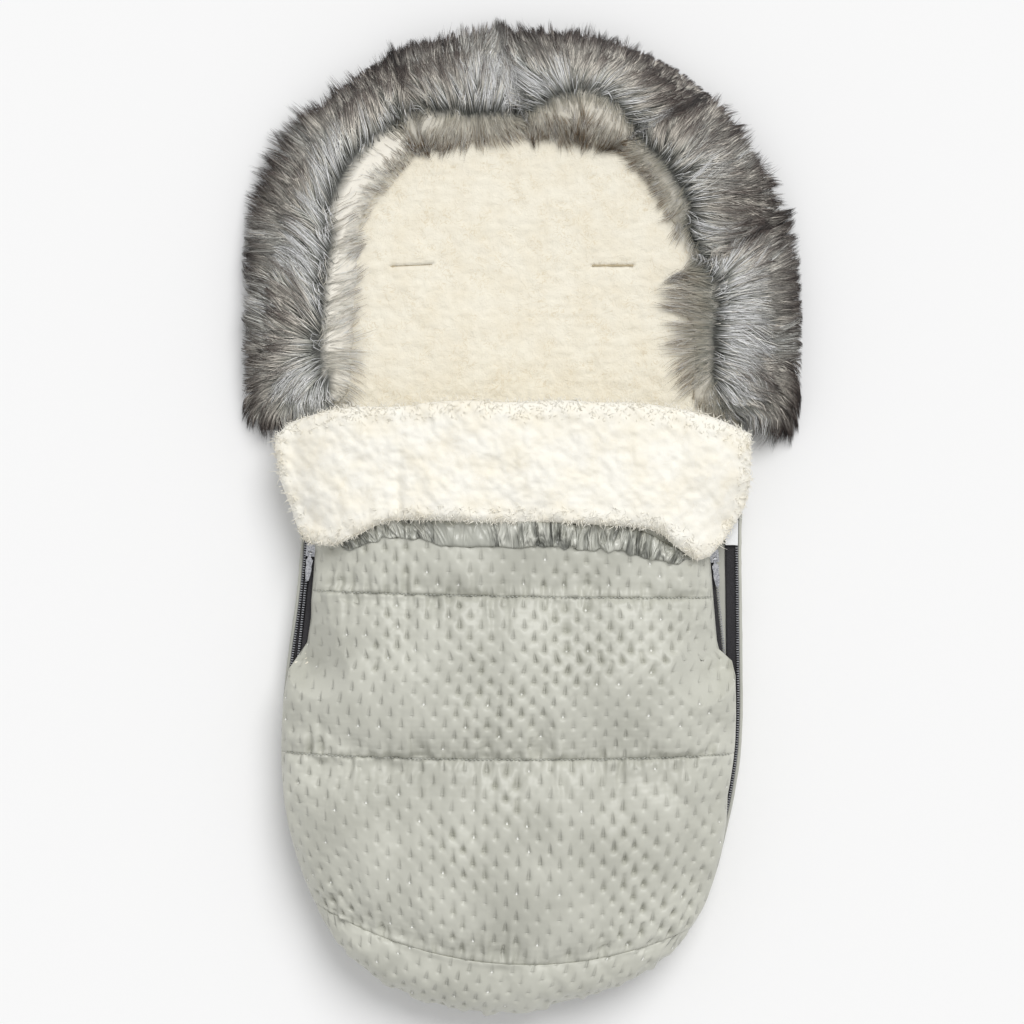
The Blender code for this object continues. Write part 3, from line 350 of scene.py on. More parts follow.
def settled(name, grid, grow, pressure, most, stride=3):
    # cloth: a coarse copy of the grid, cut a little too big and held at its border, is blown up
    # and wrinkles; each place then moves as the copy did, by no more than about "most"
    rows, columns = grid.shape[0] - 1, grid.shape[1] - 1
    coarseRows, coarseColumns = max(6, rows // stride), max(6, columns // stride)
    start = sampled(grid, np.linspace(0, rows, coarseRows + 1), np.linspace(0, columns, coarseColumns + 1))
    bm = bmesh.new()
    bmesh.ops.create_grid(bm, x_segments=coarseColumns, y_segments=coarseRows, size=0.5)
    mesh = meshOf(bm, name)
    row, column = gridPlaces(places(mesh), coarseRows, coarseColumns)
    spots = start[row, column]
    border = (row == 0) | (row == coarseRows) | (column == 0) | (column == coarseColumns)
    spots[:, 2] += np.where(border, 0, grain(spots, 0.012, 7) * 0.0006)
    place(mesh, spots)
    sheet = linked(name, mesh)
    held = sheet.vertex_groups.new(name="held")
    held.add([int(v) for v in np.flatnonzero(border)], 1.0, "REPLACE")
    cloth = sheet.modifiers.new("cloth", "CLOTH")
    for setting, value in clothSettings.items():
        setattr(cloth.settings, setting, value)
    cloth.settings.shrink_min = -grow
    cloth.settings.uniform_pressure_force = pressure
    cloth.settings.effector_weights.gravity = 0
    cloth.collision_settings.use_self_collision = False
    for number in range(clothFrames):
        bpy.context.scene.frame_set(number + 1)
    result = sheet.evaluated_get(bpy.context.evaluated_depsgraph_get())
    moved = places(result.data) - start[row, column]
    bpy.data.objects.remove(sheet)
    bpy.data.meshes.remove(mesh)
    bpy.context.scene.frame_set(1)
    far = np.linalg.norm(moved, axis=1)
    moved *= (most * np.tanh(far / most) / np.maximum(far, 1e-9))[:, None]
    shift = np.zeros_like(start)
    shift[row, column] = moved
    shift = np.dstack([blurred(shift[..., way], 2) for way in range(3)])
    shift[[0, -1]] = 0
    shift[:, [0, -1]] = 0
    print(name, "settled, moved mm:", round(float(far.mean()) * 1000, 1), round(float(far.max()) * 1000, 1))
    fineRows, fineColumns = np.linspace(0, coarseRows, rows + 1), np.linspace(0, coarseColumns, columns + 1)
    return grid + sampled(shift, fineRows, fineColumns, True)


def sampled(grid, rows, columns, soft=False):
    # a grid read between its places, softened where the places are coarse
    r, c = np.clip(rows, 0, grid.shape[0] - 1), np.clip(columns, 0, grid.shape[1] - 1)
    r0, c0 = np.minimum(r.astype(int), grid.shape[0] - 2), np.minimum(c.astype(int), grid.shape[1] - 2)
    u, v = (r - r0)[:, None, None], (c - c0)[None, :, None]
    if soft:
        u, v = u * u * (3 - 2 * u), v * v * (3 - 2 * v)
    a, b = grid[r0][:, c0], grid[r0][:, c0 + 1]
    d, e = grid[r0 + 1][:, c0], grid[r0 + 1][:, c0 + 1]
    return (a * (1 - v) + b * v) * (1 - u) + (d * (1 - v) + e * v) * u


# ---- materials

def linear(code):
    values = [int(code[i:i + 2], 16) / 255 for i in (1, 3, 5)]
    return [v / 12.92 if v <= 0.04045 else ((v + 0.055) / 1.055) ** 2.4 for v in values] + [1.0]


def addNode(tree, kind, feeds=None, **settings):
    node = tree.nodes.new(kind)
    for name, value in settings.items():
        setattr(node, name, value)
    for socket, value in (feeds or {}).items():
        if isinstance(value, bpy.types.NodeSocket):
            tree.links.new(value, node.inputs[socket])
        else:
            node.inputs[socket].default_value = value
    return node


def ramp(node, stops):
    steps = node.color_ramp.elements
    while len(steps) > 2:
        steps.remove(steps[-1])
    for number, (at, value) in enumerate(stops):
        item = steps[number] if number < 2 else steps.new(at)
        item.position = at
        item.color = linear(value) if isinstance(value, str) else (value, value, value, 1)
    return node


def noise(tree, spot, scale, detail, distortion=0.0):
    return addNode(tree, "ShaderNodeTexNoise", {"Vector": spot, "Scale": scale, "Detail": detail,
                                                "Distortion": distortion}).outputs["Fac"]


def calc(tree, operation, *values):
    return addNode(tree, "ShaderNodeMath", dict(enumerate(values)), operation=operation).outputs[0]


def vectorCalc(tree, operation, *values, result=0):
    return addNode(tree, "ShaderNodeVectorMath", dict(enumerate(values)), operation=operation).outputs[result]


def spanned(tree, value, low, high, start, end, kind="SMOOTHSTEP"):
    return addNode(tree, "ShaderNodeMapRange", {"Value": value, "From Min": low, "From Max": high, "To Min": start,
                                                "To Max": end}, interpolation_type=kind).outputs[0]


def toned(tree, value, stops):
    return ramp(addNode(tree, "ShaderNodeValToRGB", {"Fac": value}), stops).outputs["Color"]


def mixed(tree, share, first, second, **settings):
    return addNode(tree, "ShaderNodeMix", {0: share, 6: first, 7: second}, data_type="RGBA", **settings).outputs[2]


def spotOf(tree):
    return addNode(tree, "ShaderNodeTexCoord").outputs["Object"]


def clothOf(tree):
    return addNode(tree, "ShaderNodeUVMap", uv_map="cloth").outputs["UV"]


def colourBy(tree, shader, tone):
    tree.links.new(tone, shader.inputs["Base Color"])


def newLook(name, roughness, **sockets):
    look = bpy.data.materials.new(name)
    look.use_nodes = True
    tree = look.node_tree
    shader = tree.nodes["Principled BSDF"]
    shader.inputs["Roughness"].default_value = roughness
    for socket, value in sockets.items():
        shader.inputs[socket.replace("_", " ")].default_value = value
    return look, tree, shader


def addBump(tree, shader, height, strength, distance, under=None):
    feeds = {"Height": height, "Strength": strength, "Distance": distance}
    if under:
        feeds["Normal"] = under
    bump = addNode(tree, "ShaderNodeBump", feeds)
    tree.links.new(bump.outputs[0], shader.inputs["Normal"])
    return bump.outputs[0]


def embossed(tree, shader, spot, tone, normal):
    # the stitched dots, in the cloth's own millimetres: each pulls a crease above it and shows a mark
    cell = cover["dot"] * 1000 * math.sqrt(2)
    turned = addNode(tree, "ShaderNodeMapping", {"Vector": clothOf(tree), "Rotation": (0, 0, -math.pi / 4),
                                                 "Scale": (1 / cell, 1 / cell, 1)}).outputs[0]
    dots = addNode(tree, "ShaderNodeTexVoronoi", {"Vector": turned, "Scale": 1.0, "Randomness": 0.0},
                   voronoi_dimensions="2D").outputs
    pinch = spanned(tree, dots["Distance"], 0.03, 0.30, 1.0, 0.0)
    gap = vectorCalc(tree, "SUBTRACT", turned, dots["Position"])
    across, along = [vectorCalc(tree, "DOT_PRODUCT", gap, (0.7071, slope, 0), result="Value")
                     for slope in (-0.7071, 0.7071)]
    both = addNode(tree, "ShaderNodeCombineXYZ", {"X": across, "Y": along}).outputs[0]
    # the drawn crease fades out 2.3 mm to either side and 6.5 mm along, and sits above its dot
    drawn = vectorCalc(tree, "MULTIPLY_ADD", both, (cell / 2.3, cell / 6.5, 0), (0, -0.55, 0))
    # the stitch-like mark fades out 3 mm to either side and 0.9 mm up and down
    flat = vectorCalc(tree, "MULTIPLY", both, (cell / 3.0, cell / 0.9, 0))
    pucker, mark = [spanned(tree, vectorCalc(tree, "LENGTH", shape, result="Value"), 0.0, 1.0, 1.0, 0.0)
                    for shape in (drawn, flat)]
    strong = spanned(tree, noise(tree, spot, 18.0, 1.0), 0.35, 0.65, 0.30, 1.0, "LINEAR")
    sunk = calc(tree, "MULTIPLY", pucker, strong)
    sunk = calc(tree, "MULTIPLY_ADD", pinch, 0.40, sunk)
    sunk = calc(tree, "MULTIPLY_ADD", mark, 0.40, sunk)
    addBump(tree, shader, calc(tree, "SUBTRACT", 1.0, sunk), 0.9, 0.0013, normal)
    # painted shade: the tone darkens towards dark grey with the depth, in the dots' hollows, in the creases above
    # them and on the marks, which are partly the stitch itself
    tone = mixed(tree, calc(tree, "MULTIPLY", sunk, 0.14), tone, linear("#6d6e66"))
    # painted highlight: a bright glint painted on one dot in eight
    pick = addNode(tree, "ShaderNodeTexWhiteNoise", {"Vector": dots["Position"]}, noise_dimensions="3D")
    some = calc(tree, "GREATER_THAN", pick.outputs["Value"], 0.88)
    paintedGlint = calc(tree, "MULTIPLY", some, calc(tree, "LESS_THAN", dots["Distance"], 0.065))
    return mixed(tree, paintedGlint, tone, linear("#f4f4ee"))


def satinLook(name, light, shade, dotted):
    # polyester satin, woven and calendered: smooth, softly shiny, with a hint of thread
    look, tree, shader = newLook(name, 0.42, Specular_IOR_Level=0.5, Sheen_Weight=0.10, Sheen_Roughness=0.4)
    spot = spotOf(tree)
    tone = toned(tree, noise(tree, spot, 14.0, 3.0), [(0.35, shade), (0.65, light)])
    # threads drawn at 1 mm, coarser than the real 0.1 mm, so that they show
    normal = addBump(tree, shader, noise(tree, spot, 900.0, 2.0), 0.10, 0.0004)
    normal = addBump(tree, shader, noise(tree, spot, 70.0, 2.0, 0.4), 0.30, 0.0016, normal)
    colourBy(tree, shader, embossed(tree, shader, spot, tone, normal) if dotted else tone)
    return look


def gatheredLook(name, light, shade):
    # the same satin drawn up on elastic: narrow folds across the strip, with a painted highlight on the crests and
    # painted shade in the gaps
    look, tree, shader = newLook(name, 0.30, Specular_IOR_Level=0.8)
    own = clothOf(tree)
    long = addNode(tree, "ShaderNodeMapping", {"Vector": own, "Scale": (0.095, 0.028, 1)}).outputs[0]
    folds = noise(tree, long, 1.0, 2.0, 1.1)
    # little gathering on the flat stretch, about 97 to 159 mm along
    run = addNode(tree, "ShaderNodeSeparateXYZ", {"Vector": own}).outputs["X"]
    off = calc(tree, "ABSOLUTE", calc(tree, "SUBTRACT", run, 128.0))
    full = spanned(tree, off, 24.0, 38.0, 0.12, 1.0)
    height = calc(tree, "MULTIPLY", calc(tree, "SUBTRACT", folds, 0.5), full)
    # painted highlight and shade: the colour follows the folds' height, from dark grey in the gaps to light on the
    # crests
    colourBy(tree, shader, toned(tree, calc(tree, "ADD", height, 0.5),
                                 [(0.38, "#7f8079"), (0.50, shade), (0.62, light)]))
    addBump(tree, shader, height, 1.0, 0.018)
    return look


def sherpaLook(name, light, shade, crease, strength, relief):
    # sherpa: knitted polyester pile, brushed and curled: matt, soft at the rim
    look, tree, shader = newLook(name, 0.95, Sheen_Weight=0.35, Sheen_Roughness=0.6, Specular_IOR_Level=0.15)
    spot = spotOf(tree)
    tone = toned(tree, noise(tree, spot, 38.0, 3.0), [(0.30, shade), (0.62, light)])
    curls = noise(tree, spot, 105.0, 2.0, 1.6)
    # painted shade: along thin lines between the curls the tone is darkened towards the crease colour
    side = calc(tree, "ABSOLUTE", calc(tree, "SUBTRACT", curls, 0.5))
    line = toned(tree, side, [(0.0, 1.0), (0.035, 0.0)])
    where = toned(tree, noise(tree, spot, 60.0, 1.0), [(0.42, 0.0), (0.62, 1.0)])
    creaseShade = calc(tree, "MULTIPLY", calc(tree, "MULTIPLY", line, where), strength)
    colourBy(tree, shader, mixed(tree, creaseShade, tone, linear(crease)))
    # curls of about 2 mm
    first = addBump(tree, shader, noise(tree, spot, 420.0, 4.0, 1.2), relief, 0.0012)
    addBump(tree, shader, curls, relief * 0.5, 0.0020, first)
    return look


def furLook():
    # faux fur: combed acrylic fibre with coloured tips: soft gloss along the hairs
    look, tree, shader = newLook("fauxFur", 0.50, Specular_IOR_Level=0.35)
    # fine fibres pass light on to each other, so each is shaded mostly as the pelt that it lies in
    pelt = addNode(tree, "ShaderNodeAttribute", attribute_name="peltNormal")
    tree.links.new(pelt.outputs["Vector"], shader.inputs["Normal"])
    colour = addNode(tree, "ShaderNodeAttribute", attribute_name="hairColour").outputs["Color"]
    streak = toned(tree, noise(tree, spotOf(tree), 900.0, 1.0), [(0.3, 0.93), (0.7, 1.0)])
    colourBy(tree, shader, mixed(tree, 1.0, colour, streak, blend_type="MULTIPLY"))
    return look


def tapeLook():
    # zip tape: woven black polyester, ribbed across every millimetre
    look, tree, shader = newLook("wovenZipTape", 0.75, Sheen_Weight=0.2)
    ribs = addNode(tree, "ShaderNodeTexVoronoi", {"Vector": spotOf(tree), "Scale": 900.0}).outputs["Distance"]
    colourBy(tree, shader, toned(tree, ribs, [(0.1, "#0e0d10"), (0.7, "#2a282c")]))
    addBump(tree, shader, ribs, 0.5, 0.0004)
    return look


def metalLook():
    # plated zinc, tumbled and bright: silver with darker hollows
    look, tree, shader = newLook("platedZincSilver", 0.24, Metallic=1.0)
    wear = noise(tree, spotOf(tree), 600.0, 3.0)
    colourBy(tree, shader, toned(tree, wear, [(0.3, "#9ea0a6"), (0.6, "#d9dade")]))
    tree.links.new(spanned(tree, wear, 0.0, 1.0, 0.18, 0.34, "LINEAR"), shader.inputs["Roughness"])
    addBump(tree, shader, wear, 0.15, 0.0002)
    return look


def yarnLook(name, dark, light, scale, roughness=0.85):
    # spun or woven yarn, twisted: matt with a fine slanted rib
    look, tree, shader = newLook(name, roughness, Sheen_Weight=0.2)
    rib = addNode(tree, "ShaderNodeTexWave", {"Vector": spotOf(tree), "Scale": scale, "Distortion": 2.0,
                                              "Detail": 2.0}, bands_direction="DIAGONAL").outputs["Fac"]
    colourBy(tree, shader, toned(tree, rib, [(0.2, dark), (0.8, light)]))
    addBump(tree, shader, rib, 0.4, 0.0003)
    return look


looks = {
    "satin": satinLook("silverGreySatin", "#cbcbc0", "#babaaf", True),
    "gathered": gatheredLook("gatheredSatin", "#cfcfc5", "#b3b4aa"),
    # painted shade: a darker copy of the same satin, for the back's rim and the zip facing, which lie in shade
    "plainSatin": satinLook("silverGreySatinPlainShaded", "#bdbdb3", "#a9aaa2", False),
    # the third colour of each sherpa is painted shade for the creases between its curls
    "sherpa": sherpaLook("creamSherpa", "#f7f1e0", "#f2ead6", "#c4aa74", 0.30, 0.60),
    "cuffSherpa": sherpaLook("whiteSherpa", "#faf7ed", "#f6f0e0", "#d9c393", 0.12, 0.35),
    "fur": furLook(),
    "tape": tapeLook(),
    "zip_metal": metalLook(),
    "thread": yarnLook("tanThread", "#b5a07c", "#dccfb0", 900.0),
    "seamThread": yarnLook("greyThread", "#a2a39b", "#c4c5bc", 900.0, 0.6),
    "elastic": yarnLook("wovenElastic", "#d5d5d0", "#f2f2ee", 500.0),
    "label": yarnLook("whiteSatinTab", "#eef0f2", "#ffffff", 500.0, 0.5),
    "wadding": yarnLook("polyesterWadding", "#e6e6e2", "#f7f7f4", 120.0),
    "fur_knit": yarnLook("furBackingKnit", "#c9c1ae", "#e0d8c6", 500.0),
}
print("looks made:", len(looks))


# ---- outline of the back mat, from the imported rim

def rimLine(count=720):
    spots = places(nodes["back_outer"].data)
    spots = spots[spots[:, 2] > 0.0195][:, :2]
    spots = np.unique(np.round(spots, 5), axis=0)
    middle = np.array([0.0, -0.02])
    angle = np.arctan2(spots[:, 1] - middle[1], spots[:, 0] - middle[0])
    far = np.linalg.norm(spots - middle, axis=1)
    order = np.argsort(angle)
    angle, far, spots = angle[order], far[order], spots[order]
    keep = []
    for number in range(len(spots)):
        near = np.abs((angle - angle[number] + math.pi) % (2 * math.pi) - math.pi) < 0.02
        if far[number] >= far[near].max() - 1e-4:
            keep.append(number)
    line = smoothLine(spots[keep], count, closed=True)
    return np.roll(line, -int(line[:, 1].argmin()), axis=0)


rim = rimLine()
rimNormals = lineNormals(rim, closed=True)      # inwards
headAt = int(rim[:, 1].argmax())


def sideLine(side):
    return rim[:headAt + 1] if side > 0 else np.vstack([rim[:1], rim[:headAt - 1:-1]])


def rimX(side, y):
    line = sideLine(side)
    return np.interp(y, line[:, 1], line[:, 0])


# ---- front cover

# the satin's edge beside each zip: distance in from the mat's edge, by place down the top view
satinInset = {
    -1: [(430, 9), (520, 12), (552, 14.6), (600, 15.6), (618, 17.6), (642, 17.6), (668, 3.0), (700, 0.5), (800, 0.0),
         (880, 0.5), (960, 1.0)],
    1: [(430, 16), (520, 31), (552, 31.6), (600, 28.5), (640, 25.6), (649, 23.5), (660, 11.0), (675, 7.8),
        (740, 7.0), (795, 7.4), (822, 3.0), (850, 1.0), (960, 1.0)],
}
overhang = {-1: (645, 672), 1: (643, 662)}


def satinEdge(side, y):
    table = np.array(satinInset[side], float)
    return rimX(side, y) - side * np.interp(downAt(y), table[:, 0], table[:, 1]) / 1000


def edgeHeight(share, y):
    # the satin's edge rises where it goes over the zip's tape
    left, right = [cover["edgeRise"] * step(downAt(y), *overhang[side]) for side in (-1, 1)]
    return cover["edgeZ"] + np.where(share < 0, left, right)


# underside of the folded cuff, which the cover stays under
cuffXs = np.arange(-0.26, 0.261, 0.004)
cuffYs = np.arange(-0.06, 0.141, 0.004)
cuffOpen = heightMap(treeOf(nodes["cuff_facing"].data), cuffXs, cuffYs, down=False)


# where the lying pulls come to when the sliders are at the end of their run: x, then y, from and to;
# the cloth's height under them, and how fast it may rise past the margin round them
pulls = {
    "places": ((-0.2246, -0.2169, -0.1381, -0.1087), (0.1982, 0.2059, -0.1442, -0.1148)),
    "under": 0.0344,
    "margin": 0.0018,
    "slope": 1.1,
}


def pullRoom(spots):
    # the cloth stays below a pull that lies on it
    x, y = spots[..., 0], spots[..., 1]
    room = np.full(x.shape, 1.0)
    for left, right, near, far in pulls["places"]:
        away = np.hypot(np.maximum(np.maximum(left - x, x - right), 0), np.maximum(np.maximum(near - y, y - far), 0))
        room = np.minimum(room, pulls["under"] + pulls["slope"] * np.maximum(away - pulls["margin"], 0))
    return room


def crown(share, power=2.5):
    return np.sqrt(np.clip(1 - np.abs(share) ** power, 0, 1))


def evenShares(count):
    share = np.linspace(-1, 1, 4001)
    line = np.column_stack([share * 0.222, crown(share) * 0.052])
    return evenLine(np.column_stack([line, share]), count + 1)[:, 2]


def seamPlaces(values, share):
    fromToe, tilt, rise = values[:3]
    leftY, rightY = toeY + fromToe + tilt, toeY + fromToe - tilt
    left, right = satinEdge(-1, leftY), satinEdge(1, rightY)
    x = left + (right - left) * (share + 1) / 2
    y = toeY + fromToe - tilt * share + rise * (1 - share * share)
    return x, y


def dimples(a, b, patches):
    # stitched dots in a quincunx, no two drawn in alike, and faint diagonal valleys between them
    size = cover["dot"]
    depth = np.zeros_like(a)
    for shift in (0, 1):
        column, row = np.rint((a / size - shift) / 2), np.rint((b / size - shift) / 2)
        luck = np.sin(column * 12.9898 + row * 78.233 + shift * 37.7) * 43758.5453 % 1
        other = np.sin(column * 39.346 + row * 11.135 + shift * 83.2) * 24634.6345 % 1
        du = a - (2 * column + shift) * size - 0.0014 * (luck - 0.5)
        dv = b - (2 * row + shift) * size - 0.0014 * (other - 0.5)
        pull = (0.40 + 1.0 * luck) * patches
        tall = 0.0022 + 0.0042 * other * patches
        depth += cover["dotDepth"] * pull * np.exp(-np.hypot(du, dv) / 0.0024)
        depth += cover["puckerDepth"] * pull * np.exp(-(du / 0.0021) ** 2 - ((dv - 0.7 * tall) / tall) ** 2)
        depth += cover["creaseDepth"] * pull * np.exp(-(dv / 0.0016) ** 2 - (du / 0.0052) ** 2)
    for way in (a + b, a - b):
        near = way - np.rint(way / (2 * size)) * 2 * size
        depth += cover["valleyDepth"] * patches * np.exp(-(near / 0.0030) ** 2)
    return depth


def underside(values, share, base):
    return base + (values[4] - base) * crown(np.minimum(1, np.abs(share) / 0.90))


def alongRows(grid):
    # distance along each row, from its middle
    along = np.zeros(grid.shape[:2])
    along[:, 1:] = np.cumsum(np.linalg.norm(np.diff(grid, axis=1), axis=2), axis=1)
    return along - along[:, grid.shape[1] // 2][:, None]


def channelGrids(number):
    near, far = np.array(cover["rows"][number]), np.array(cover["rows"][number + 1])
    marks = np.linspace(0, 1, int(round((far[0] - near[0]) / cover["rowSpacing"])) + 1)
    share = evenShares(cover["columns"])
    puff = cover["puffs"][number] * cover["blown"]
    top, low = [], []
    for mark in marks:
        values = near + (far - near) * mark
        x, y = seamPlaces(values, share)
        swell = puff * max(0.0, math.sin(math.pi * mark)) ** 0.7
        base = edgeHeight(share, y)
        height = base + (values[3] + swell - base) * crown(share)
        under = underside(values, share, base) + cover["skinLining"] * crown(share, 8)
        top.append(np.column_stack([x, y, height]))
        low.append(np.column_stack([x, y, np.minimum(under, height)]))
    top, low = np.array(top), np.array(low)
    down = np.broadcast_to((near[0] + (far[0] - near[0]) * marks)[:, None], top.shape[:2])
    return marks, share, top, low, alongRows(top), down


def gridNormals(grid):
    return unit(np.cross(np.gradient(grid, axis=1), np.gradient(grid, axis=0)))


def dressChannel(number):
    marks, share, top, low, along, down = channelGrids(number)
    name = "frontCover" + cover["names"][number].capitalize()
    top = settled(name + "Cloth", top, 0.035, 5.0, cover["settle"][number])
    # dots fade at the seams and on the tight left flank
    seam = np.minimum(step(marks, 0.0, 0.05), step(1 - marks, 0.0, 0.05))[:, None]
    edge = step(1 - np.abs(share), 0.0, 0.10)[None, :]
    loose = step(weave(along, down, 0.075, 3) + 0.35 + 1.4 * share[None, :], -0.9, 0.1)
    wobble = 0.0016 * weave(along, down, 0.03, 8)
    patches = 0.4 + 1.2 * step(weave(along, down, 0.06, 9), -0.2, 0.5)
    depth = dimples(along + wobble, down + wobble, patches) * seam * edge
    depth *= cover["calm"][number] * (0.35 + 0.65 * loose)
    cloth = np.dstack([along + wobble, down + wobble]) * 1000
    # wrinkles that run out of the stitched seams
    tall = cover["rows"][number + 1][0] - cover["rows"][number][0]
    ways = np.minimum(marks, 1 - marks)[:, None] * tall
    reach = 0.008 + 0.014 * step(weave(along[0], np.full(len(share), float(number)), 0.02, 4), -0.6, 0.9)
    fold = weave(along, down * 0.16, 0.0062, 11 + number)
    fine = weave(along, down * 0.3, 0.0030, 14 + number)
    near = step(ways, -0.001, 0.0025)
    depth += (0.0060 * fold * np.exp(-ways / reach[None, :]) + 0.0030 * fine * np.exp(-ways / 0.005)) * edge * near
    depth += 0.0006 * np.exp(-ways / 0.0022)
    depth += 0.0004 * weave(along, down, 0.0052, 31 + number) * edge
    slack = weave(along, down * 0.55, 0.026, 21 + number)
    soft = (0.0036 * slack + 0.0034 * weave(along, down, 0.055, 24 + number)) * seam * edge
    # folds drawn in from the sides of the zips
    flank = np.exp(-(1 - np.abs(share)) / 0.10)[None, :] * edge
    soft += 0.0034 * flank * weave(along * 0.25, down, 0.013, 27 + number) * seam
    # close to a seam, the cloth moves up and down only, so neither channel crosses to the other
    way = gridNormals(top)
    way[..., :2] *= step(ways, 0.0, 0.008)[..., None]
    top = top - way * np.minimum(depth - soft, 0.6 * (top[..., 2] - low[..., 2]))[..., None]
    # beside a zip, the cloth doesn't hang over the slider's way
    for side in (-1, 1):
        past = np.maximum(side * (top[..., 0] - satinEdge(side, top[..., 1])), 0)
        free = 1 - step(downAt(top[..., 1]), *cover["runEnd"])
        top[..., 0] -= side * (past - 0.0010 * np.tanh(past / 0.0010)) * free
    if number == 2:
        lid = readMap(filled(cuffOpen), cuffXs, cuffYs, top.reshape(-1, 3)[:, :2]).reshape(along.shape) - 0.0006
        above = step(top[..., 1], 0.000, 0.010)
        top[..., 2] = np.where(above > 0, np.minimum(top[..., 2], lid * above + 1 - above), top[..., 2])
    low[..., 2] = np.minimum(low[..., 2], pullRoom(low) - 0.0010)
    top[..., 2] = np.minimum(top[..., 2], pullRoom(top))
    top[..., 2] = np.maximum(top[..., 2], low[..., 2] + 0.0004)
    piece = newPiece(name, slabMesh(name, low, top, cloth), looks["satin"], "cover")
    return piece


def makeCover():
    lower, middle, upper = [dressChannel(number) for number in range(3)]
    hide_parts("front_wadding_lower", "front_outer")
    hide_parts("front_wadding_middle")
    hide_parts("front_wadding_upper")


def layStitches(name, lines, size):
    # one small rounded stitch after another along each line, each a low sphere stretched along it
    bm = bmesh.new()
    bmesh.ops.create_uvsphere(bm, u_segments=6, v_segments=4, radius=0.5)
    middles = np.vstack([line[1:-1] for line in lines])
    ways = unit(np.vstack([line[2:] - line[:-2] for line in lines]))
    mesh = copies(name, bm, len(middles))
    spots = places(mesh).reshape(len(middles), -1, 3)
    across = unit(np.column_stack([-ways[:, 1], ways[:, 0], np.zeros(len(ways))]))
    long, wide = size
    laid = (middles[:, None] + spots[..., :1] * long * ways[:, None] + spots[..., 1:2] * wide * across[:, None]
            + spots[..., 2:] * wide * np.cross(ways, across)[:, None])
    place(mesh, laid.reshape(-1, 3))
    return mesh


def makeSeamStitches():
    lines = []
    for number in (1, 2):
        values = cover["rows"][number]
        share = np.linspace(-0.985, 0.985, 600)
        x, y = seamPlaces(values, share)
        base = edgeHeight(share, y)
        line = np.column_stack([x, y, base + (values[3] - base) * crown(share) + 0.0007])
        lines.append(evenLine(line, int(runOf(line)[-1] / cover["stitchPitch"])))
    piece = newPiece("coverSeamStitches", layStitches("coverSeamStitches", lines, (0.0031, 0.0014)),
                     looks["seamThread"], "cover")


def liningGrids():
    share = evenShares(110)
    rows, low, top = [], [], []
    for number in range(3):
        near, far = np.array(cover["rows"][number]), np.array(cover["rows"][number + 1])
        for mark in np.linspace(0, 1, 40)[(1 if number else 0):]:
            rows.append(near + (far - near) * mark)
    for values in rows:
        x, y = seamPlaces(values, share)
        base = edgeHeight(share, y)
        under = underside(values, share, base)
        x = x * (1 - 0.004 * np.abs(share) ** 6)
        fluff = 0.0016 * pile(np.column_stack([x, y]), 0.009, 31) * crown(share, 10)
        low.append(np.column_stack([x, y, under - fluff + 0.0006]))
        top.append(np.column_stack([x, y, under + (cover["skinLining"] - 0.0005) * crown(share, 8) + 0.0007]))
    return np.array(low), np.array(top)


def makeCoverLining():
    low, top = liningGrids()
    top[..., 2] = np.minimum(top[..., 2], pullRoom(top) - 0.0011)
    low[..., 2] = np.minimum(low[..., 2], pullRoom(low) - 0.0016)
    piece = newPiece("frontLining", slabMesh("frontLining", low, top), looks["sherpa"], "cover")
    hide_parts("front_lining")


gusset = {"rows": 46, "columns": 220, "puff": 0.0052, "tip": 0.007, "share": 0.985}


def toeArc(share):
    line = np.vstack([rim[headAt:], rim[:headAt]])
    leftY, rightY = toeY + 0.11 - gusset["tip"], toeY + 0.085 - gusset["tip"]
    arc = line[line[:, 1] < np.where(line[:, 0] < 0, leftY, rightY)]
    run = runOf(arc)
    return [np.interp((share + 1) / 2 * run[-1], run, arc[:, axis]) for axis in (0, 1)]


def gussetGrids():
    share = evenShares(gusset["columns"]) * gusset["share"]
    values = cover["rows"][0]
    seamX, seamY = seamPlaces(values, share)
    toeX, toeYs = toeArc(share)
    marks = np.linspace(0, 1, gusset["rows"] + 1)
    top, low = [], []
    base = cover["edgeZ"] + 0.0055
    for mark in marks:
        x, y = seamX + (toeX - seamX) * mark, seamY + (toeYs - seamY) * mark
        fall = math.sqrt(max(0.0, 1 - mark * mark))
        swell = gusset["puff"] * math.sin(math.pi * mark) * crown(share)
        height = base + (values[3] - base) * crown(share) * fall + swell
        under = base - 0.0008 + (underside(values, share, base) - base) * fall
        under = np.minimum(under + cover["skinLining"] * crown(share, 8) * fall, height - 0.0003)
        top.append(np.column_stack([x, y, height]))
        low.append(np.column_stack([x, y, under]))
    return marks[::-1], share, np.array(top)[::-1], np.array(low)[::-1]


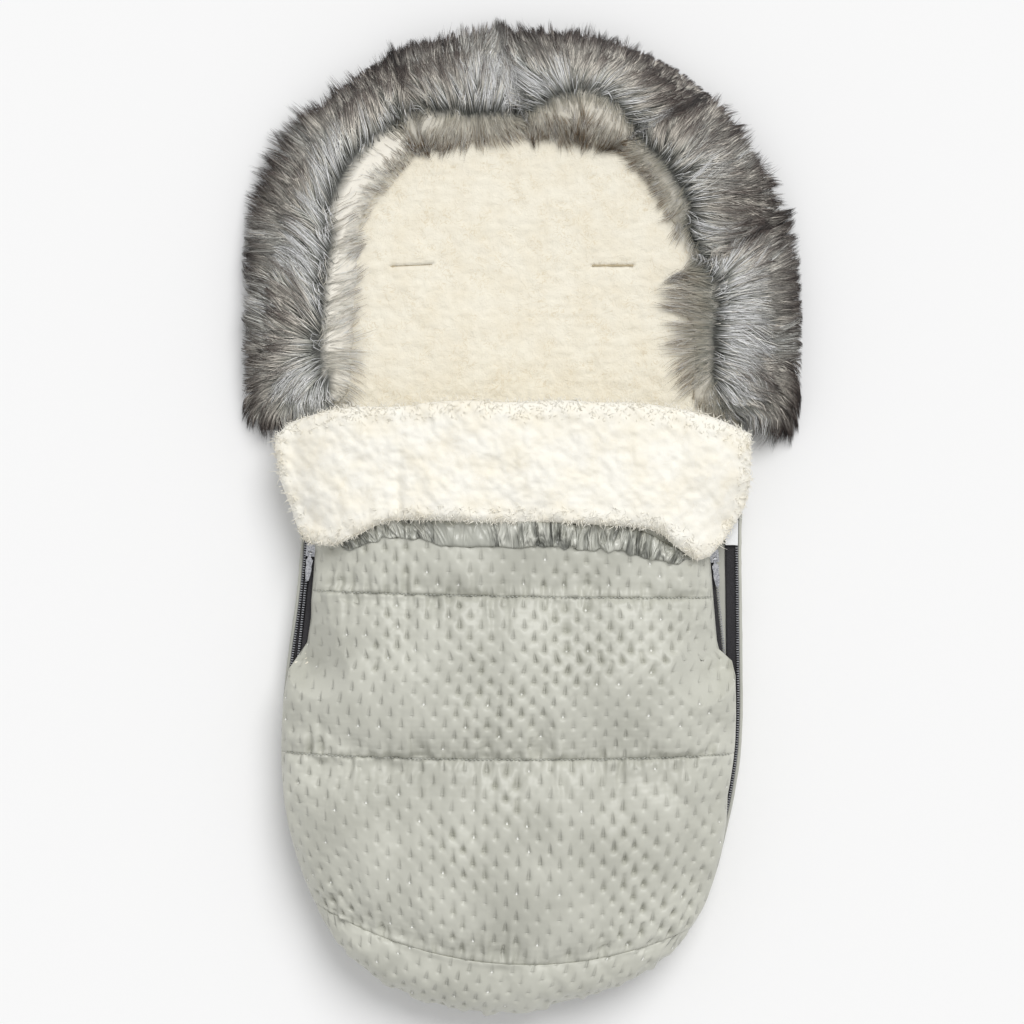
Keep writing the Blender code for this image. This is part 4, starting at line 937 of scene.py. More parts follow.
def makeGusset():
    marks, share, top, low = gussetGrids()
    along = alongRows(top)
    down = np.zeros(along.shape)
    down[1:] = np.cumsum(np.linalg.norm(np.diff(top, axis=0), axis=2), axis=0)
    top = settled("toeGussetCloth", top, 0.03, 3.0, 0.005, stride=2)
    seam = np.minimum(step(marks, 0.0, 0.12), step(1 - marks, 0.0, 0.10))[:, None]
    edge = step(1 - np.abs(share) / gusset["share"], 0.0, 0.10)[None, :]
    wobble = 0.0014 * weave(along, down, 0.03, 58)
    # flatter towards the toe, where the pad thins out
    full = (0.3 + 0.7 * step(marks, 0.25, 0.8))[:, None]
    depth = 0.9 * dimples(along + wobble, down + 0.004 + wobble, 0.75) * seam * edge * full
    fold = weave(along, down * 0.15, 0.0075, 51)
    # folds and slack shrink with the panel's height, which runs out at the sides
    tall = down[-1][None, :]
    wide = np.clip(tall / tall.max(), 0, 1) ** 1.5
    fromToe, fromSeam = marks[:, None] * tall, (1 - marks)[:, None] * tall
    fold *= 0.0060 * wide * (0.15 * np.exp(-fromToe / 0.012) + np.exp(-fromSeam / 0.014)) * edge
    slack = 0.0030 * wide * weave(along, down * 0.5, 0.032, 52) * edge * seam
    depth = depth * (0.3 + 0.7 * wide) + fold - slack
    top = top - gridNormals(top) * depth[..., None] * step(1 - marks, 0.0, 0.03)[:, None, None]
    top[..., 2] = np.maximum(top[..., 2], low[..., 2] + 0.0003)
    cloth = np.dstack([along + wobble, down + 0.004 + wobble]) * 1000
    piece = newPiece("toeGusset", slabMesh("toeGusset", low, top, cloth), looks["satin"], "cover")
    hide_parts("toe_gusset_outer", "toe_gusset_wadding")
    under = low[::2, ::2].copy()
    under[..., 2] = np.minimum(under[..., 2], top[::2, ::2, 2]) - 0.0003
    marks, share = marks[::2], share[::2]
    pad = cover["skinLining"] * (crown(share, 8)[None, :] * np.sqrt(np.clip(1 - marks ** 2, 0, 1))[:, None]) + 0.0004
    fluff = 0.0013 * pile(under.reshape(-1, 3)[:, :2], 0.009, 61).reshape(under.shape[:2])
    lowest = under.copy()
    lowest[..., 2] -= pad + fluff
    lining = newPiece("toeGussetLining", slabMesh("toeGussetLining", lowest, under), looks["sherpa"], "cover")
    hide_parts("toe_gusset_lining")


makeCover()
makeSeamStitches()
makeCoverLining()
makeGusset()
print("cover made")


# ---- back mat

back = {
    "curl": 0.014,
    "wall": 0.0016,
    "rimHeight": 0.0265,
    "headRimHeight": 0.0205,
    # the piped lip on the rim: distance in from the edge, height over the rim
    "lip": [(-0.0004, 0.0004), (0.0006, 0.0017), (0.0020, 0.0019), (0.0029, 0.0012), (0.0030, -0.0003)],
}
harness = {"middle": -0.0095, "apart": 0.101, "fromToe": 0.745, "turn": 2.5, "half": 0.023, "radius": 0.0031}
slit = {"open": 0.00042, "half": 0.0205, "lip": 0.00050}


def ringAt(inset, height):
    return np.column_stack([rim + rimNormals * inset, np.broadcast_to(height, len(rim))])


def rimTop(y):
    high, low = back["rimHeight"], back["headRimHeight"]
    return high + (low - high) * step(y, toeY + 0.576 - 0.04, toeY + 0.576 + 0.04)


def addRing(bm, ring):
    made = bmesh.ops.create_circle(bm, segments=len(ring), radius=1.0, cap_ends=False)["verts"]
    for vert, spot in zip(made, ring):
        vert.co = spot
    return list({edge for vert in made for edge in vert.link_edges})


def ringShell(rings, closed=False):
    # rings of equal count, bridged one to the next, and the last to the first where closed
    bm = bmesh.new()
    first = previous = None
    for ring in rings:
        edges = addRing(bm, ring)
        if previous:
            bmesh.ops.bridge_loops(bm, edges=previous + edges)
        first, previous = first or edges, edges
    if closed:
        bmesh.ops.bridge_loops(bm, edges=previous + first)
        bmesh.ops.recalc_face_normals(bm, faces=bm.faces[:])
    return bm


def slotLine(side):
    turn = math.radians(harness["turn"]) if side < 0 else 0.0
    centre = np.array([harness["middle"] + side * harness["apart"], toeY + harness["fromToe"]])
    return centre, np.array([math.cos(turn), math.sin(turn)])


def slotRing(side, grow, height, count=28):
    centre, way = slotLine(side)
    half, radius = harness["half"] - harness["radius"], harness["radius"] + grow
    spots = []
    for number in range(count):
        angle = 2 * math.pi * number / count
        x = radius * math.cos(angle) + math.copysign(half, math.cos(angle))
        y = radius * math.sin(angle)
        spots.append((*(centre + x * way + y * np.array([-way[1], way[0]])), height))
    return np.array(spots)


def fillAround(bm, height):
    edges = [e for e in bm.edges if e.is_boundary and all(abs(v.co.z - height) < 1e-4 for v in e.verts)]
    bmesh.ops.triangle_fill(bm, edges=edges, use_beauty=True)


def makeBackShell():
    curl, wall = back["curl"], back["wall"]
    head, foot = rimTop(rim[:, 1]), curl * 0.9
    profile = [(1.0, 0.0), (0.62, 0.03), (0.35, 0.16), (0.16, 0.40), (0.06, 0.66), (0.02, 0.88)]
    rings = [(curl * inwards, curl * up) for inwards, up in profile]
    rings += [(-0.0005, foot + (head - foot) * share) for share in (0.35, 0.7)]
    rings += [(inset, head + rise) for inset, rise in back["lip"]]
    rings += [(0.0027, foot + (head - foot) * 0.5), (0.05 * curl + wall, curl * 0.85 + wall / 2),
              (0.35 * curl + wall, 0.25 * curl + wall), (curl + wall, wall)]
    bm = ringShell([ringAt(*ring) for ring in rings])
    for side in (-1, 1):
        edges = addRing(bm, slotRing(side, 0.0, 0.0)) + addRing(bm, slotRing(side, 0.0, wall))
        bmesh.ops.bridge_loops(bm, edges=edges)
    fillAround(bm, 0.0)
    fillAround(bm, wall)
    bmesh.ops.recalc_face_normals(bm, faces=bm.faces[:])
    mesh = meshOf(bm, "backShell")
    spots = places(mesh)
    around = np.arctan2(spots[:, 1], spots[:, 0])
    side = step(spots[:, 2], 0.001, 0.008) * step(0.0262 - spots[:, 2], -0.002, 0.004)
    crease = grain(np.column_stack([around * 0.35, spots[:, 2] * 0.4]), 0.011, 71)
    spots[:, :2] += np.column_stack([np.cos(around), np.sin(around)]) * (0.0008 * crease * side)[:, None]
    place(mesh, spots)
    piece = newPiece("backShell", mesh, looks["plainSatin"], "back")
    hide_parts("back_outer", "back_wadding")


lining = {"spacing": 0.0023, "top": 0.0222, "floor": 0.0127, "inset": 0.0034}


def outlineInset(points):
    # how far inside the mat's edge each place lies
    at = nearestOn(points, rim[::2])
    return ((points - rim[::2][at]) * rimNormals[::2][at]).sum(1)


def slotNearest(side, points):
    # the nearest place on a harness slot's middle line
    centre, way = slotLine(side)
    return centre + np.clip((points - centre) @ way, -slit["half"], slit["half"])[:, None] * way


def slotGap(points):
    return np.min([np.linalg.norm(points - slotNearest(side, points), axis=1) for side in (-1, 1)], axis=0)


def slitEdge(here):
    middles = [slotNearest(side, here[None])[0] for side in (-1, 1)]
    middle = min(middles, key=lambda spot: np.linalg.norm(here - spot))
    away = here - middle
    return middle + away / max(np.linalg.norm(away), 1e-6) * slit["open"]


def makeSlotLips(side, node, name):
    # oversewn edge of the slit: a thin rope of thread
    size = slit["lip"]
    angles = [2 * math.pi * number / 8 for number in range(8)]
    rings = [slotRing(side, slit["open"] - harness["radius"] + size * math.cos(angle),
                      lining["top"] + 0.0002 + size * math.sin(angle), count=60) for angle in angles]
    mesh = meshOf(ringShell(rings, closed=True), name)
    spots = places(mesh)
    spots[:, 2] += 0.0004 * grain(spots[:, :2], 0.004, 85)
    place(mesh, spots)
    piece = newPiece(name, mesh, looks["thread"], "back")
    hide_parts(node)


def makeBackLining():
    low, high = rim.min(0), rim.max(0)
    columns = int((high[0] - low[0]) / lining["spacing"])
    rows = int((high[1] - low[1]) / lining["spacing"])
    bm = bmesh.new()
    bmesh.ops.create_grid(bm, x_segments=columns, y_segments=rows, size=0.5)
    spots = np.array([v.co[:] for v in bm.verts])
    flat = low + (spots[:, :2] + 0.5) * (high - low)
    inset, gap = outlineInset(flat), slotGap(flat)
    for vert, (x, y) in zip(bm.verts, flat):
        vert.co = (x, y, lining["top"])
    bm.verts.index_update()
    gone = [v for v in bm.verts if inset[v.index] < lining["inset"] + 0.0008 or gap[v.index] < slit["open"] + 0.0008]
    bmesh.ops.delete(bm, geom=gone, context="VERTS")
    lone = [v for v in bm.verts if not v.link_faces]
    bmesh.ops.delete(bm, geom=lone, context="VERTS")
    edges = [e for e in bm.edges if e.is_boundary]
    for vert in {v for e in edges for v in e.verts}:     # draws the stepped borders onto smooth lines
        here = np.array(vert.co[:2])
        if slotGap(here[None])[0] < 0.008:
            vert.co.x, vert.co.y = slitEdge(here)
        else:
            at = int(((rim - here) ** 2).sum(1).argmin())
            vert.co.x, vert.co.y = rim[at] + rimNormals[at] * lining["inset"]
    made = bmesh.ops.extrude_edge_only(bm, edges=edges)["geom"]
    for vert in [v for v in made if isinstance(v, bmesh.types.BMVert)]:
        vert.co.z = lining["floor"]
    bmesh.ops.triangle_fill(bm, edges=[e for e in bm.edges if e.is_boundary], use_beauty=True)
    bmesh.ops.recalc_face_normals(bm, faces=bm.faces[:])
    mesh = meshOf(bm, "backLining")
    spots = places(mesh)
    top = spots[:, 2] > lining["top"] - 1e-4
    border = outlineInset(spots[:, :2])
    rounding = 0.0055 * (1 - crown(1 - np.clip((border - lining["inset"]) / 0.012, 0, 1), 2))
    fluff = 0.0022 * pile(spots[:, :2], 0.0095, 81) + 0.0010 * grain(spots[:, :2], 0.05, 82)
    spots[:, 2] += np.where(top, fluff - 0.0008 - rounding, 0)
    place(mesh, spots)
    piece = newPiece("backLining", mesh, looks["sherpa"], "back")
    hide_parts("back_lining")


makeBackShell()
makeBackLining()
makeSlotLips(-1, "slot_stitching_left", "slotLipsLeft")
makeSlotLips(1, "slot_stitching_right", "slotLipsRight")
print("back made")


# ---- fur trim

fur = {
    "perLobe": 11400,
    "quickShare": 3,        # one hair in three when quick, each this much thicker
    "quickThicker": 1.6,
    "length": (0.034, 0.064),
    "radius": (0.00018, 0.00036),
    "lift": 0.012,
    "skinInset": 0.006,
    "lockSize": 20,         # hairs to a lock
    "clump": 0.52,          # how far they draw together
    "mingle": 0.0035,       # spread of the parting
    "ground": 0.0230,       # hairs lie on the lining from here
    "floor": 0.0012,
    "reach": (0.270, 0.0138),       # half width from which tips are held back, and how far they may pass it
}
parting = plan([(345, 428), (334, 400), (328, 374), (324, 349), (326, 315), (328, 290), (332, 262), (334, 235),
                (336, 205), (352, 168), (392, 132), (420, 115), (450, 116), (500, 118), (530, 112), (560, 100),
                (595, 96), (625, 118), (645, 150), (668, 172), (684, 205), (687, 235), (697, 258), (708, 280),
                (713, 310), (711, 345), (710, 375), (720, 405), (735, 420)])
outerEdge = plan([(262, 446), (250, 425), (246, 390), (242, 350), (238, 320), (236, 290), (237, 250), (240, 200),
                  (250, 170), (262, 150), (280, 122), (300, 106), (325, 88), (345, 76), (360, 76), (385, 60),
                  (420, 39), (460, 26), (515, 19), (560, 23), (600, 35), (640, 57), (670, 74), (700, 88),
                  (720, 112), (745, 137), (765, 162), (780, 188), (790, 218), (798, 250), (805, 285), (807, 315),
                  (804, 345), (801, 370), (797, 400), (790, 428), (768, 446)])
innerEdge = plan([(352, 425), (368, 392), (374, 370), (368, 330), (366, 300), (371, 262), (360, 230), (366, 196),
                  (380, 178), (388, 158), (412, 150), (460, 152), (500, 151), (530, 142), (560, 137), (600, 142),
                  (630, 160), (642, 176), (658, 192), (664, 220), (656, 260), (652, 290), (652, 330), (654, 370),
                  (662, 398), (680, 412), (705, 420)])
# how the hairs lean along the band, in degrees, by share of the parting's run
lean = [(0.00, -88), (0.03, -80), (0.055, -45), (0.075, 5), (0.10, 40), (0.25, 46), (0.31, 26), (0.365, 8),
        (0.385, 0), (0.392, -36), (0.43, -14), (0.47, 16), (0.503, 34), (0.511, -30), (0.55, -6), (0.59, 18),
        (0.635, 36), (0.648, 36), (0.656, -38), (0.70, -8), (0.74, 18), (0.79, 38), (0.812, 40), (0.822, -30),
        (0.87, -12), (0.915, 10), (0.945, 48), (0.97, 80), (1.00, 88)]
creases = (0.388, 0.507, 0.652, 0.817)
lobes = [("furLeft", "fur_left"), ("furTopLeft", "fur_top_left"), ("furTopRight", "fur_top_right"),
         ("furShoulderRight", "fur_shoulder_right"), ("furRight", "fur_right")]
furColours = {
    "partingRoot": "#666962", "root": "#a1a39a", "light": "#f8f8f0", "brown": "#85726a", "beige": "#c6b8a8",
    "tip": "#1a1517", "innerRoot": "#d9d4c6", "innerMid": "#f8f2e4", "cream": "#fffaf0", "tan": "#7d6442",
    "smoke": "#b9b2a1", "bark": "#2c2217", "outerSkinGreyAndShade": "#62625e", "innerSkin": "#fdf8ec",
}
strandTaper = (1.0, 0.95, 0.62, 0.0)
strandRings = len(strandTaper) - 1
# how far the inner side's smoky brown colour goes, by share of the run
smoky = [(0.0, 0.0), (0.28, 0.05), (0.36, 0.7), (0.50, 0.8), (0.62, 0.85), (0.665, 1.0), (0.70, 0.5),
         (0.80, 0.35), (0.86, 0.25), (1.0, 0.3)]


class FurField:
    # the band's own coordinates: run along the parting, and share of the way to either edge
    def __init__(self):
        self.line = smoothLine(parting, 500)
        ahead = unit(np.gradient(self.line, axis=0))
        self.out = np.column_stack([-ahead[:, 1], ahead[:, 0]])   # left of the run: outwards
        self.outer, self.inner = [self.wayTo(smoothLine(edge, 900)) for edge in (outerEdge, innerEdge)]
        self.run = np.linspace(0, 1, len(self.line))
        self.leanAt = np.radians(np.interp(self.run, *np.array(lean, float).T))

    def wayTo(self, edge):
        # distance to an edge of the band, evened out along the run
        far = np.sqrt(((self.line[:, None] - edge[None]) ** 2).sum(2).min(1))
        return np.convolve(np.pad(far, 12, mode="edge"), np.ones(25) / 25, "valid")

    def width(self, at, side):
        return np.where(side > 0, self.outer[at], self.inner[at])

    def runAt(self, spots):
        return self.run[nearestOn(spots[:, :2], self.line)]

    def read(self, points, side=None):
        # a hair keeps the side of the parting that it was given, also where it starts across it
        at = nearestOn(points, self.line)
        gap = points - self.line[at]
        found = np.sign((gap * self.out[at]).sum(1) + 1e-9)
        side = found if side is None else side
        far = np.linalg.norm(gap, axis=1)
        away = gap / np.maximum(far, 1e-6)[:, None] * (side * found)[:, None]
        far = np.where(found == side, far, 0.0)
        near = step(far, 0.004, 0.016)[:, None]
        outward = away * near + self.out[at] * side[:, None] * (1 - near)
        outward /= np.maximum(np.linalg.norm(outward, axis=1), 1e-6)[:, None]
        return at, side, far / self.width(at, side), outward

    def flow(self, points, wander, side):
        at, side, share, outward = self.read(points, side)
        ends = np.maximum(1 - step(self.run[at], 0.03, 0.08), step(self.run[at], 0.93, 0.975))
        fade = np.clip(1.15 - 0.95 * share, 0.1, 1) * (1 - ends) + ends
        turn = self.leanAt[at] * np.where(side > 0, fade, 0.85)
        turn = turn * side + wander      # positive leans along the run on both sides
        left = np.column_stack([outward[:, 1], -outward[:, 0]])
        return outward * np.cos(turn)[:, None] + left * np.sin(turn)[:, None]


field = FurField()


def strandTemplate():
    bm = bmesh.new()
    bmesh.ops.create_cone(bm, cap_ends=True, cap_tris=False, segments=3, radius1=1.0, radius2=0.0, depth=1.0)
    bmesh.ops.translate(bm, vec=(0, 0, 0.5), verts=bm.verts[:])
    for ring in range(1, strandRings):
        geom = bm.verts[:] + bm.edges[:] + bm.faces[:]
        bmesh.ops.bisect_plane(bm, geom=geom, plane_co=(0, 0, ring / strandRings), plane_no=(0, 0, 1))
    bmesh.ops.triangulate(bm, faces=bm.faces[:])
    return bm


def layStrands(name, centres, radii):
    # centres: strands x (rings + 1) x 3; the template's rings are laid along each line
    count = len(centres)
    mesh = copies(name, strandTemplate(), count)
    spots = places(mesh).reshape(count, -1, 3)
    shape = spots[0]
    ring = np.clip(np.rint(shape[:, 2] * strandRings).astype(int), 0, strandRings)
    angle = np.arctan2(shape[:, 1], shape[:, 0])
    way = unit(np.gradient(centres, axis=1))
    across = unit(np.cross(way, np.array([0.0, 0.0, 1.0])))
    over = np.cross(way, across)
    for number, r in enumerate(ring):
        size = (radii * strandTaper[r])[:, None]
        turned = across[:, r] * math.cos(angle[number]) + over[:, r] * math.sin(angle[number])
        spots[:, number] = centres[:, r] + size * turned
    place(mesh, spots.reshape(-1, 3))
    return mesh, np.tile(ring, count).reshape(count, -1)


def lay(mesh, name, vectors):
    layer = mesh.attributes.new(name, "FLOAT_VECTOR", "POINT")
    layer.data.foreach_set("vector", vectors.astype(np.float32).ravel())


def paint(mesh, name, colours):
    layer = mesh.color_attributes.new(name, "FLOAT_COLOR", "POINT")
    values = np.column_stack([colours, np.ones(len(colours))])
    layer.data.foreach_set("color", values.astype(np.float32).ravel())


def toneOf(tone):
    return np.array([linear(furColours[tone])[:3]]) if isinstance(tone, str) else tone


def blendColours(first, second, share):
    share = np.clip(share, 0, 1)[:, None]
    return toneOf(first) * (1 - share) + toneOf(second) * share


def smokeAt(spots):
    return np.interp(field.runAt(spots), *zip(*smoky))


def creaseGap(run):
    # distance along the run from the nearest crease between two lengths
    return np.min([np.abs(run - crease) for crease in creases], axis=0)


def hairColours(root, side, share, tipShare, seed, lock, ring):
    # a hair is grey at its root, light along its shaft, and where it ends far out, brown and then black
    patch = 0.6 * grain(root[:, :2], 0.036, 91) + 0.4 * grain(root[:, :2], 0.015, 92)
    dark = step(tipShare + 0.45 * patch + 0.24 * (lock[:, 0] - 0.5) + 0.30 * (seed[:, 0] - 0.5), 0.54, 0.98)
    dark = np.maximum(dark, 0.85 * (seed[:, 1] > 0.90))
    outer = [blendColours("partingRoot", "root", step(share, 0.02, 0.16)),
             blendColours("light", "beige", 0.55 * dark + 0.12 * step(patch, 0, 1)),
             blendColours("light", "brown", 0.95 * dark) * (1 - 0.55 * dark ** 2)[:, None],
             blendColours("light", "tip", dark)]
    smoke = smokeAt(root)
    tan = step(seed[:, 1] + 0.35 * smoke + 0.3 * (lock[:, 1] - 0.5), 0.62, 0.80) * (tipShare > 0.4)
    # on the right, the grey goes on past the parting
    grey = step(field.runAt(root), 0.66, 0.72) * (1 - step(share, 0.25, 0.6))
    base = blendColours(blendColours("innerRoot", "smoke", smoke), "root", grey)
    middle = 0.7 * smoke + 0.5 * (1 - step(share, 0.0, 0.14)) + 0.4 * grey
    inner = [blendColours("partingRoot", base, step(share, 0.0, 0.16)),
             blendColours("innerMid", "smoke", middle),
             blendColours("cream", "tan", (0.85 + 0.15 * smoke) * tan + 0.10 * smoke),
             blendColours("cream", blendColours("tan", "bark", 0.5 + 0.5 * smoke), tan)]
    shine = np.where(seed[:, 2] < 0.30, 0.30 + 1.4 * seed[:, 2], 1.0 + 0.36 * seed[:, 2])
    shine = np.where(side > 0, shine, 0.90 - 0.32 * smoke + (0.4 + 0.7 * smoke) * seed[:, 2])
    colours = np.zeros((*ring.shape, 3))
    for number in range(strandRings + 1):
        tone = np.where(side[:, None] > 0, outer[number], inner[number]) * shine[:, None]
        colours = np.where((ring == number)[..., None], tone[:, None, :], colours)
    return np.clip(colours.reshape(-1, 3), 0, 1)


def furSkin(node):
    bm = merged(node)
    bmesh.ops.subdivide_edges(bm, edges=bm.edges[:], cuts=1, use_grid_fill=True)
    bmesh.ops.triangulate(bm, faces=bm.faces[:])
    bmesh.ops.smooth_vert(bm, verts=bm.verts[:], factor=0.5, use_axis_x=True, use_axis_y=True, use_axis_z=True)
    bm.normal_update()
    for vert, normal in [(v, v.normal.copy()) for v in bm.verts]:
        spot = np.array([vert.co[:2]])
        at, side, share, inward = field.read(spot)
        if side[0] > 0:
            vert.co -= normal * fur["skinInset"]
            continue
        vert.co -= normal * fur["skinInset"] * max(0.25, 1 - 2.0 * share[0])
        # on the lining's side, the pelt runs out thinly over the lining
        turned = float(step(0.8 - normal.z, 0.0, 0.6) * step(share[0], 0.15, 0.35))
        rest = max(0.0, (0.78 - share[0]) * field.inner[at[0]])
        thin = turned * min(rest, 0.010 + 0.006 * float(grain(spot, 0.006, 17)[0]))
        vert.co.x += inward[0, 0] * thin
        vert.co.y += inward[0, 1] * thin
        vert.co.z += (fur["ground"] - (0.0 if normal.z > 0 else 0.0025) - vert.co.z) * turned
        vert.co.z = max(vert.co.z, 0.001)
    return meshOf(bm, "skin" + node)


def spread(node, count, rng):
    # even random places on the upper and outer faces of a fur length
    data = nodes[node].data
    a, b, c = places(data)[triangles(data)].transpose(1, 0, 2)
    normal = np.cross(b - a, c - a)
    area = np.linalg.norm(normal, axis=1)
    normal /= np.maximum(area, 1e-12)[:, None]
    middle = (a + b + c) / 3
    shown = (normal[:, 2] > -0.25) & (middle[:, 2] > 0.004)
    weight = area * shown * (0.35 + 0.65 * np.clip(normal[:, 2] + 0.4, 0, 1))
    at, side, _, _ = field.read(middle[:, :2])
    weight *= np.where(side > 0, 1, 0.32 + 0.45 * smokeAt(middle))
    weight *= np.where(creaseGap(field.run[at]) < 0.008, 2.2, 1)
    pick = rng.choice(len(weight), count, p=weight / weight.sum())
    u, v = rng.random(count), rng.random(count)
    swap = u + v > 1
    u[swap], v[swap] = 1 - u[swap], 1 - v[swap]
    return a[pick] + (b - a)[pick] * u[:, None] + (c - a)[pick] * v[:, None], normal[pick]


furXs = np.arange(-0.30, 0.301, 0.004)
furYs = np.arange(0.06, 0.521, 0.004)
furTree = treeOf(*[nodes[lobe[1]].data for lobe in lobes])
furMap = heightMap(furTree, furXs, furYs, empty=0.0)


def hairLengths(root, side, seed, lock, rng):
    at, side, share, _ = field.read(root[:, :2], side)
    low, high = fur["length"]
    length = low + (high - low) * rng.random(len(root)) ** 0.7
    width, run = field.width(at, side), field.run[at]
    length = np.where(side < 0, length * (0.45 + 0.25 * seed[:, 3]) * np.clip(width / 0.038, 0.9, 1.6), length)
    ends = np.maximum(1 - step(run, 0.02, 0.09), step(run, 0.925, 0.985))
    # hairs stop at the photo's edge, a little ragged, but hang on past the lower ends
    ragged = 0.14 * (seed[:, 1] - 0.35) + 0.17 * (lock[:, 1] - 0.5) + 0.06 * grain(root[:, :2], 0.008, 9)
    stray = 0.30 * (seed[:, 0] > 0.80)
    room = (np.where(side > 0, 0.95, 1.02 + stray) + ragged * np.where(side > 0, 1.3, 2.2) - share) * width * 1.25
    room = room * (1 - ends) + 0.052 * ends
    return np.clip(length, 0.008, np.maximum(room, 0.012))


def hairLines(root, normal, side, length, wander, seed):
    # each hair starts in the pelt and is led over the solids' height, lower where the pelt ends
    centres = np.zeros((len(root), strandRings + 1, 3))
    centres[:, 0] = root - normal * (fur["skinInset"] * 0.7)
    steep = np.clip(1 - normal[:, 2], 0, 1)
    stand = fur["lift"] * np.where(side > 0, 1, 0.75) * (0.15 + 0.85 * seed[:, 0])
    stand *= 0.4 + 0.6 * (length / fur["length"][1])
    here = root.copy()
    here[:, 2] -= fur["skinInset"] * 0.35
    part = length / strandRings
    for ring in range(1, strandRings + 1):
        flow = field.flow(here[:, :2], wander, side)
        flat = here[:, :2] + flow * (part * (1 - 0.45 * steep))[:, None]
        surface = readMap(furMap, furXs, furYs, flat)
        wish = surface + stand * (ring / strandRings) ** 0.8 - 0.004
        fallen = here[:, 2] - part * (0.35 + 0.25 * ring) * (0.5 + 0.5 * seed[:, 2])
        height = np.where(surface > 0.004, np.maximum(wish, fallen), fallen)
        height = np.minimum(height, here[:, 2] + part * 0.45)
        height = np.maximum(height, np.where(side < 0, fur["ground"] + 0.0006, fur["floor"]) + 0.004 * seed[:, 3])
        here = np.column_stack([flat, height])
        centres[:, ring] = here
    return centres


def inLocks(centres, lockAt, side):
    # each lock's hairs draw together towards the lock's own tip
    toward = centres[lockAt] + (centres[:, :1] - centres[lockAt][:, :1]) * 0.22
    along = (np.arange(strandRings + 1) / strandRings) ** 1.4
    pull = fur["clump"] * np.where(side > 0, 1, 0.45)[:, None, None] * along[None, :, None]
    centres = centres * (1 - pull) + toward * pull
    centres[..., 2] = np.maximum(centres[..., 2], fur["floor"])
    # no hair hangs further out than the photo's silhouette
    start, most = fur["reach"]
    far = np.abs(centres[..., 0])
    beyond = most * np.tanh(np.maximum(far - start, 0) / most)
    centres[..., 0] = np.sign(centres[..., 0]) * (np.minimum(far, start) + beyond)
    return centres


def paintedSkin(node):
    skin = furSkin(node)
    lay(skin, "peltNormal", readOut(skin.vertex_normals, "vector", np.float32))
    spots = places(skin)
    _, side, share, _ = field.read(spots[:, :2])
    smoke = 0.6 * smokeAt(spots) * (1 - step(share, 0.45, 0.75))
    inner = blendColours("innerSkin", "smoke", smoke)
    # under the outer hairs the skin is painted dark grey: partly the roots' grey, partly painted shade deep between
    # the hairs
    paint(skin, "hairColour", np.where(side[:, None] > 0, toneOf("outerSkinGreyAndShade"), inner))
    return skin


def makeFurLobe(name, node, number):
    rng = np.random.default_rng(100 + number)
    count = fur["perLobe"] // 1
    root, normal = spread(node, count, rng)
    seed = rng.random((count, 4))
    lockAt = nearestOn(root[:, :2], root[:count // fur["lockSize"], :2])
    lock = seed[lockAt][:, [3, 0]]
    # within some millimetres of the parting, hairs fall to either side
    at = nearestOn(root[:, :2], field.line)
    across = ((root[:, :2] - field.line[at]) * field.out[at]).sum(1)
    side = np.sign(across + rng.normal(0, fur["mingle"], count) + 1e-9)
    wander = (0.50 * (lock[:, 0] - 0.5) + 0.22 * grain(root[:, :2], 0.010, 5) + 0.14 * (seed[:, 3] - 0.5)
              + 0.30 * grain(root[:, :2], 0.035, 6))
    length = hairLengths(root, side, seed, lock, rng)
    centres = inLocks(hairLines(root, normal, side, length, wander, seed), lockAt, side)
    thin, thick = fur["radius"]
    radii = (thin + (thick - thin) * seed[:, 1]) * np.where(side < 0, 0.8, 1.0)
    mesh, ring = layStrands(name + "Hairs", centres, radii)
    _, _, share, _ = field.read(root[:, :2], side)
    _, _, tipShare, _ = field.read(centres[:, -1, :2], side)
    colours = hairColours(root, side, share, tipShare, seed, lock, ring)
    # painted shade: hairs at the creases between lengths are darkened
    colours *= (0.68 + 0.32 * step(creaseGap(field.runAt(places(mesh))), 0.0, 0.008))[:, None]
    paint(mesh, "hairColour", colours)
    own = readOut(mesh.vertex_normals, "vector", np.float32)
    pelt = np.repeat(normal * 0.4 + np.array([0.0, 0.0, 0.9]), ring.shape[1], axis=0) + own * 0.5
    lay(mesh, "peltNormal", unit(pelt))
    piece = newPiece(name, joined(name, [paintedSkin(node), mesh]), looks["fur"], "back")
    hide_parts(node)


for number, (name, node) in enumerate(lobes):
    makeFurLobe(name, node, number)
print("fur made")


# ---- cuff

cuffUnder = blurred(filled(cuffOpen), 3)
cuff = {
    "columns": 280,
    "rows": 76,
    "thick": 0.0155,
    "round": 0.012,
    "dent": (-0.1215, 0.022),
    "tufts": (2600, 800),       # whole, quick
    "tuftLength": (0.0025, 0.0060),
    "tuftRadius": (0.0003, 0.0006),
}
foldLine = plan([(277, 436), (288, 426), (300, 420), (345, 409), (400, 408), (430, 404), (470, 402), (510, 404),
                 (560, 402), (600, 404), (640, 405), (700, 415), (750, 434)])
freeLine = plan([(310, 543), (335, 545), (360, 535), (380, 525), (400, 520), (450, 521), (500, 523), (560, 523),
                 (600, 525), (650, 530), (672, 545), (693, 559), (708, 556)])
leftLine = plan([(277, 436), (276, 448), (279, 465), (283, 485), (291, 505), (299, 528), (310, 543)])
rightLine = plan([(750, 434), (750, 455), (748, 490), (743, 508), (735, 522), (722, 541), (708, 556)])


def patch(top, bottom, left, right, columns, rows):
    # a grid inside four border lines
    across, down = np.linspace(0, 1, columns + 1)[None, :, None], np.linspace(0, 1, rows + 1)[:, None, None]
    top, bottom = smoothLine(top, columns + 1), smoothLine(bottom, columns + 1)
    left, right = smoothLine(left, rows + 1), smoothLine(right, rows + 1)
    grid = (1 - down) * top[None] + down * bottom[None] + (1 - across) * left[:, None] + across * right[:, None]
    grid -= (1 - across) * (1 - down) * top[0] + across * (1 - down) * top[-1]
    return grid - (1 - across) * down * bottom[0] - across * down * bottom[-1]


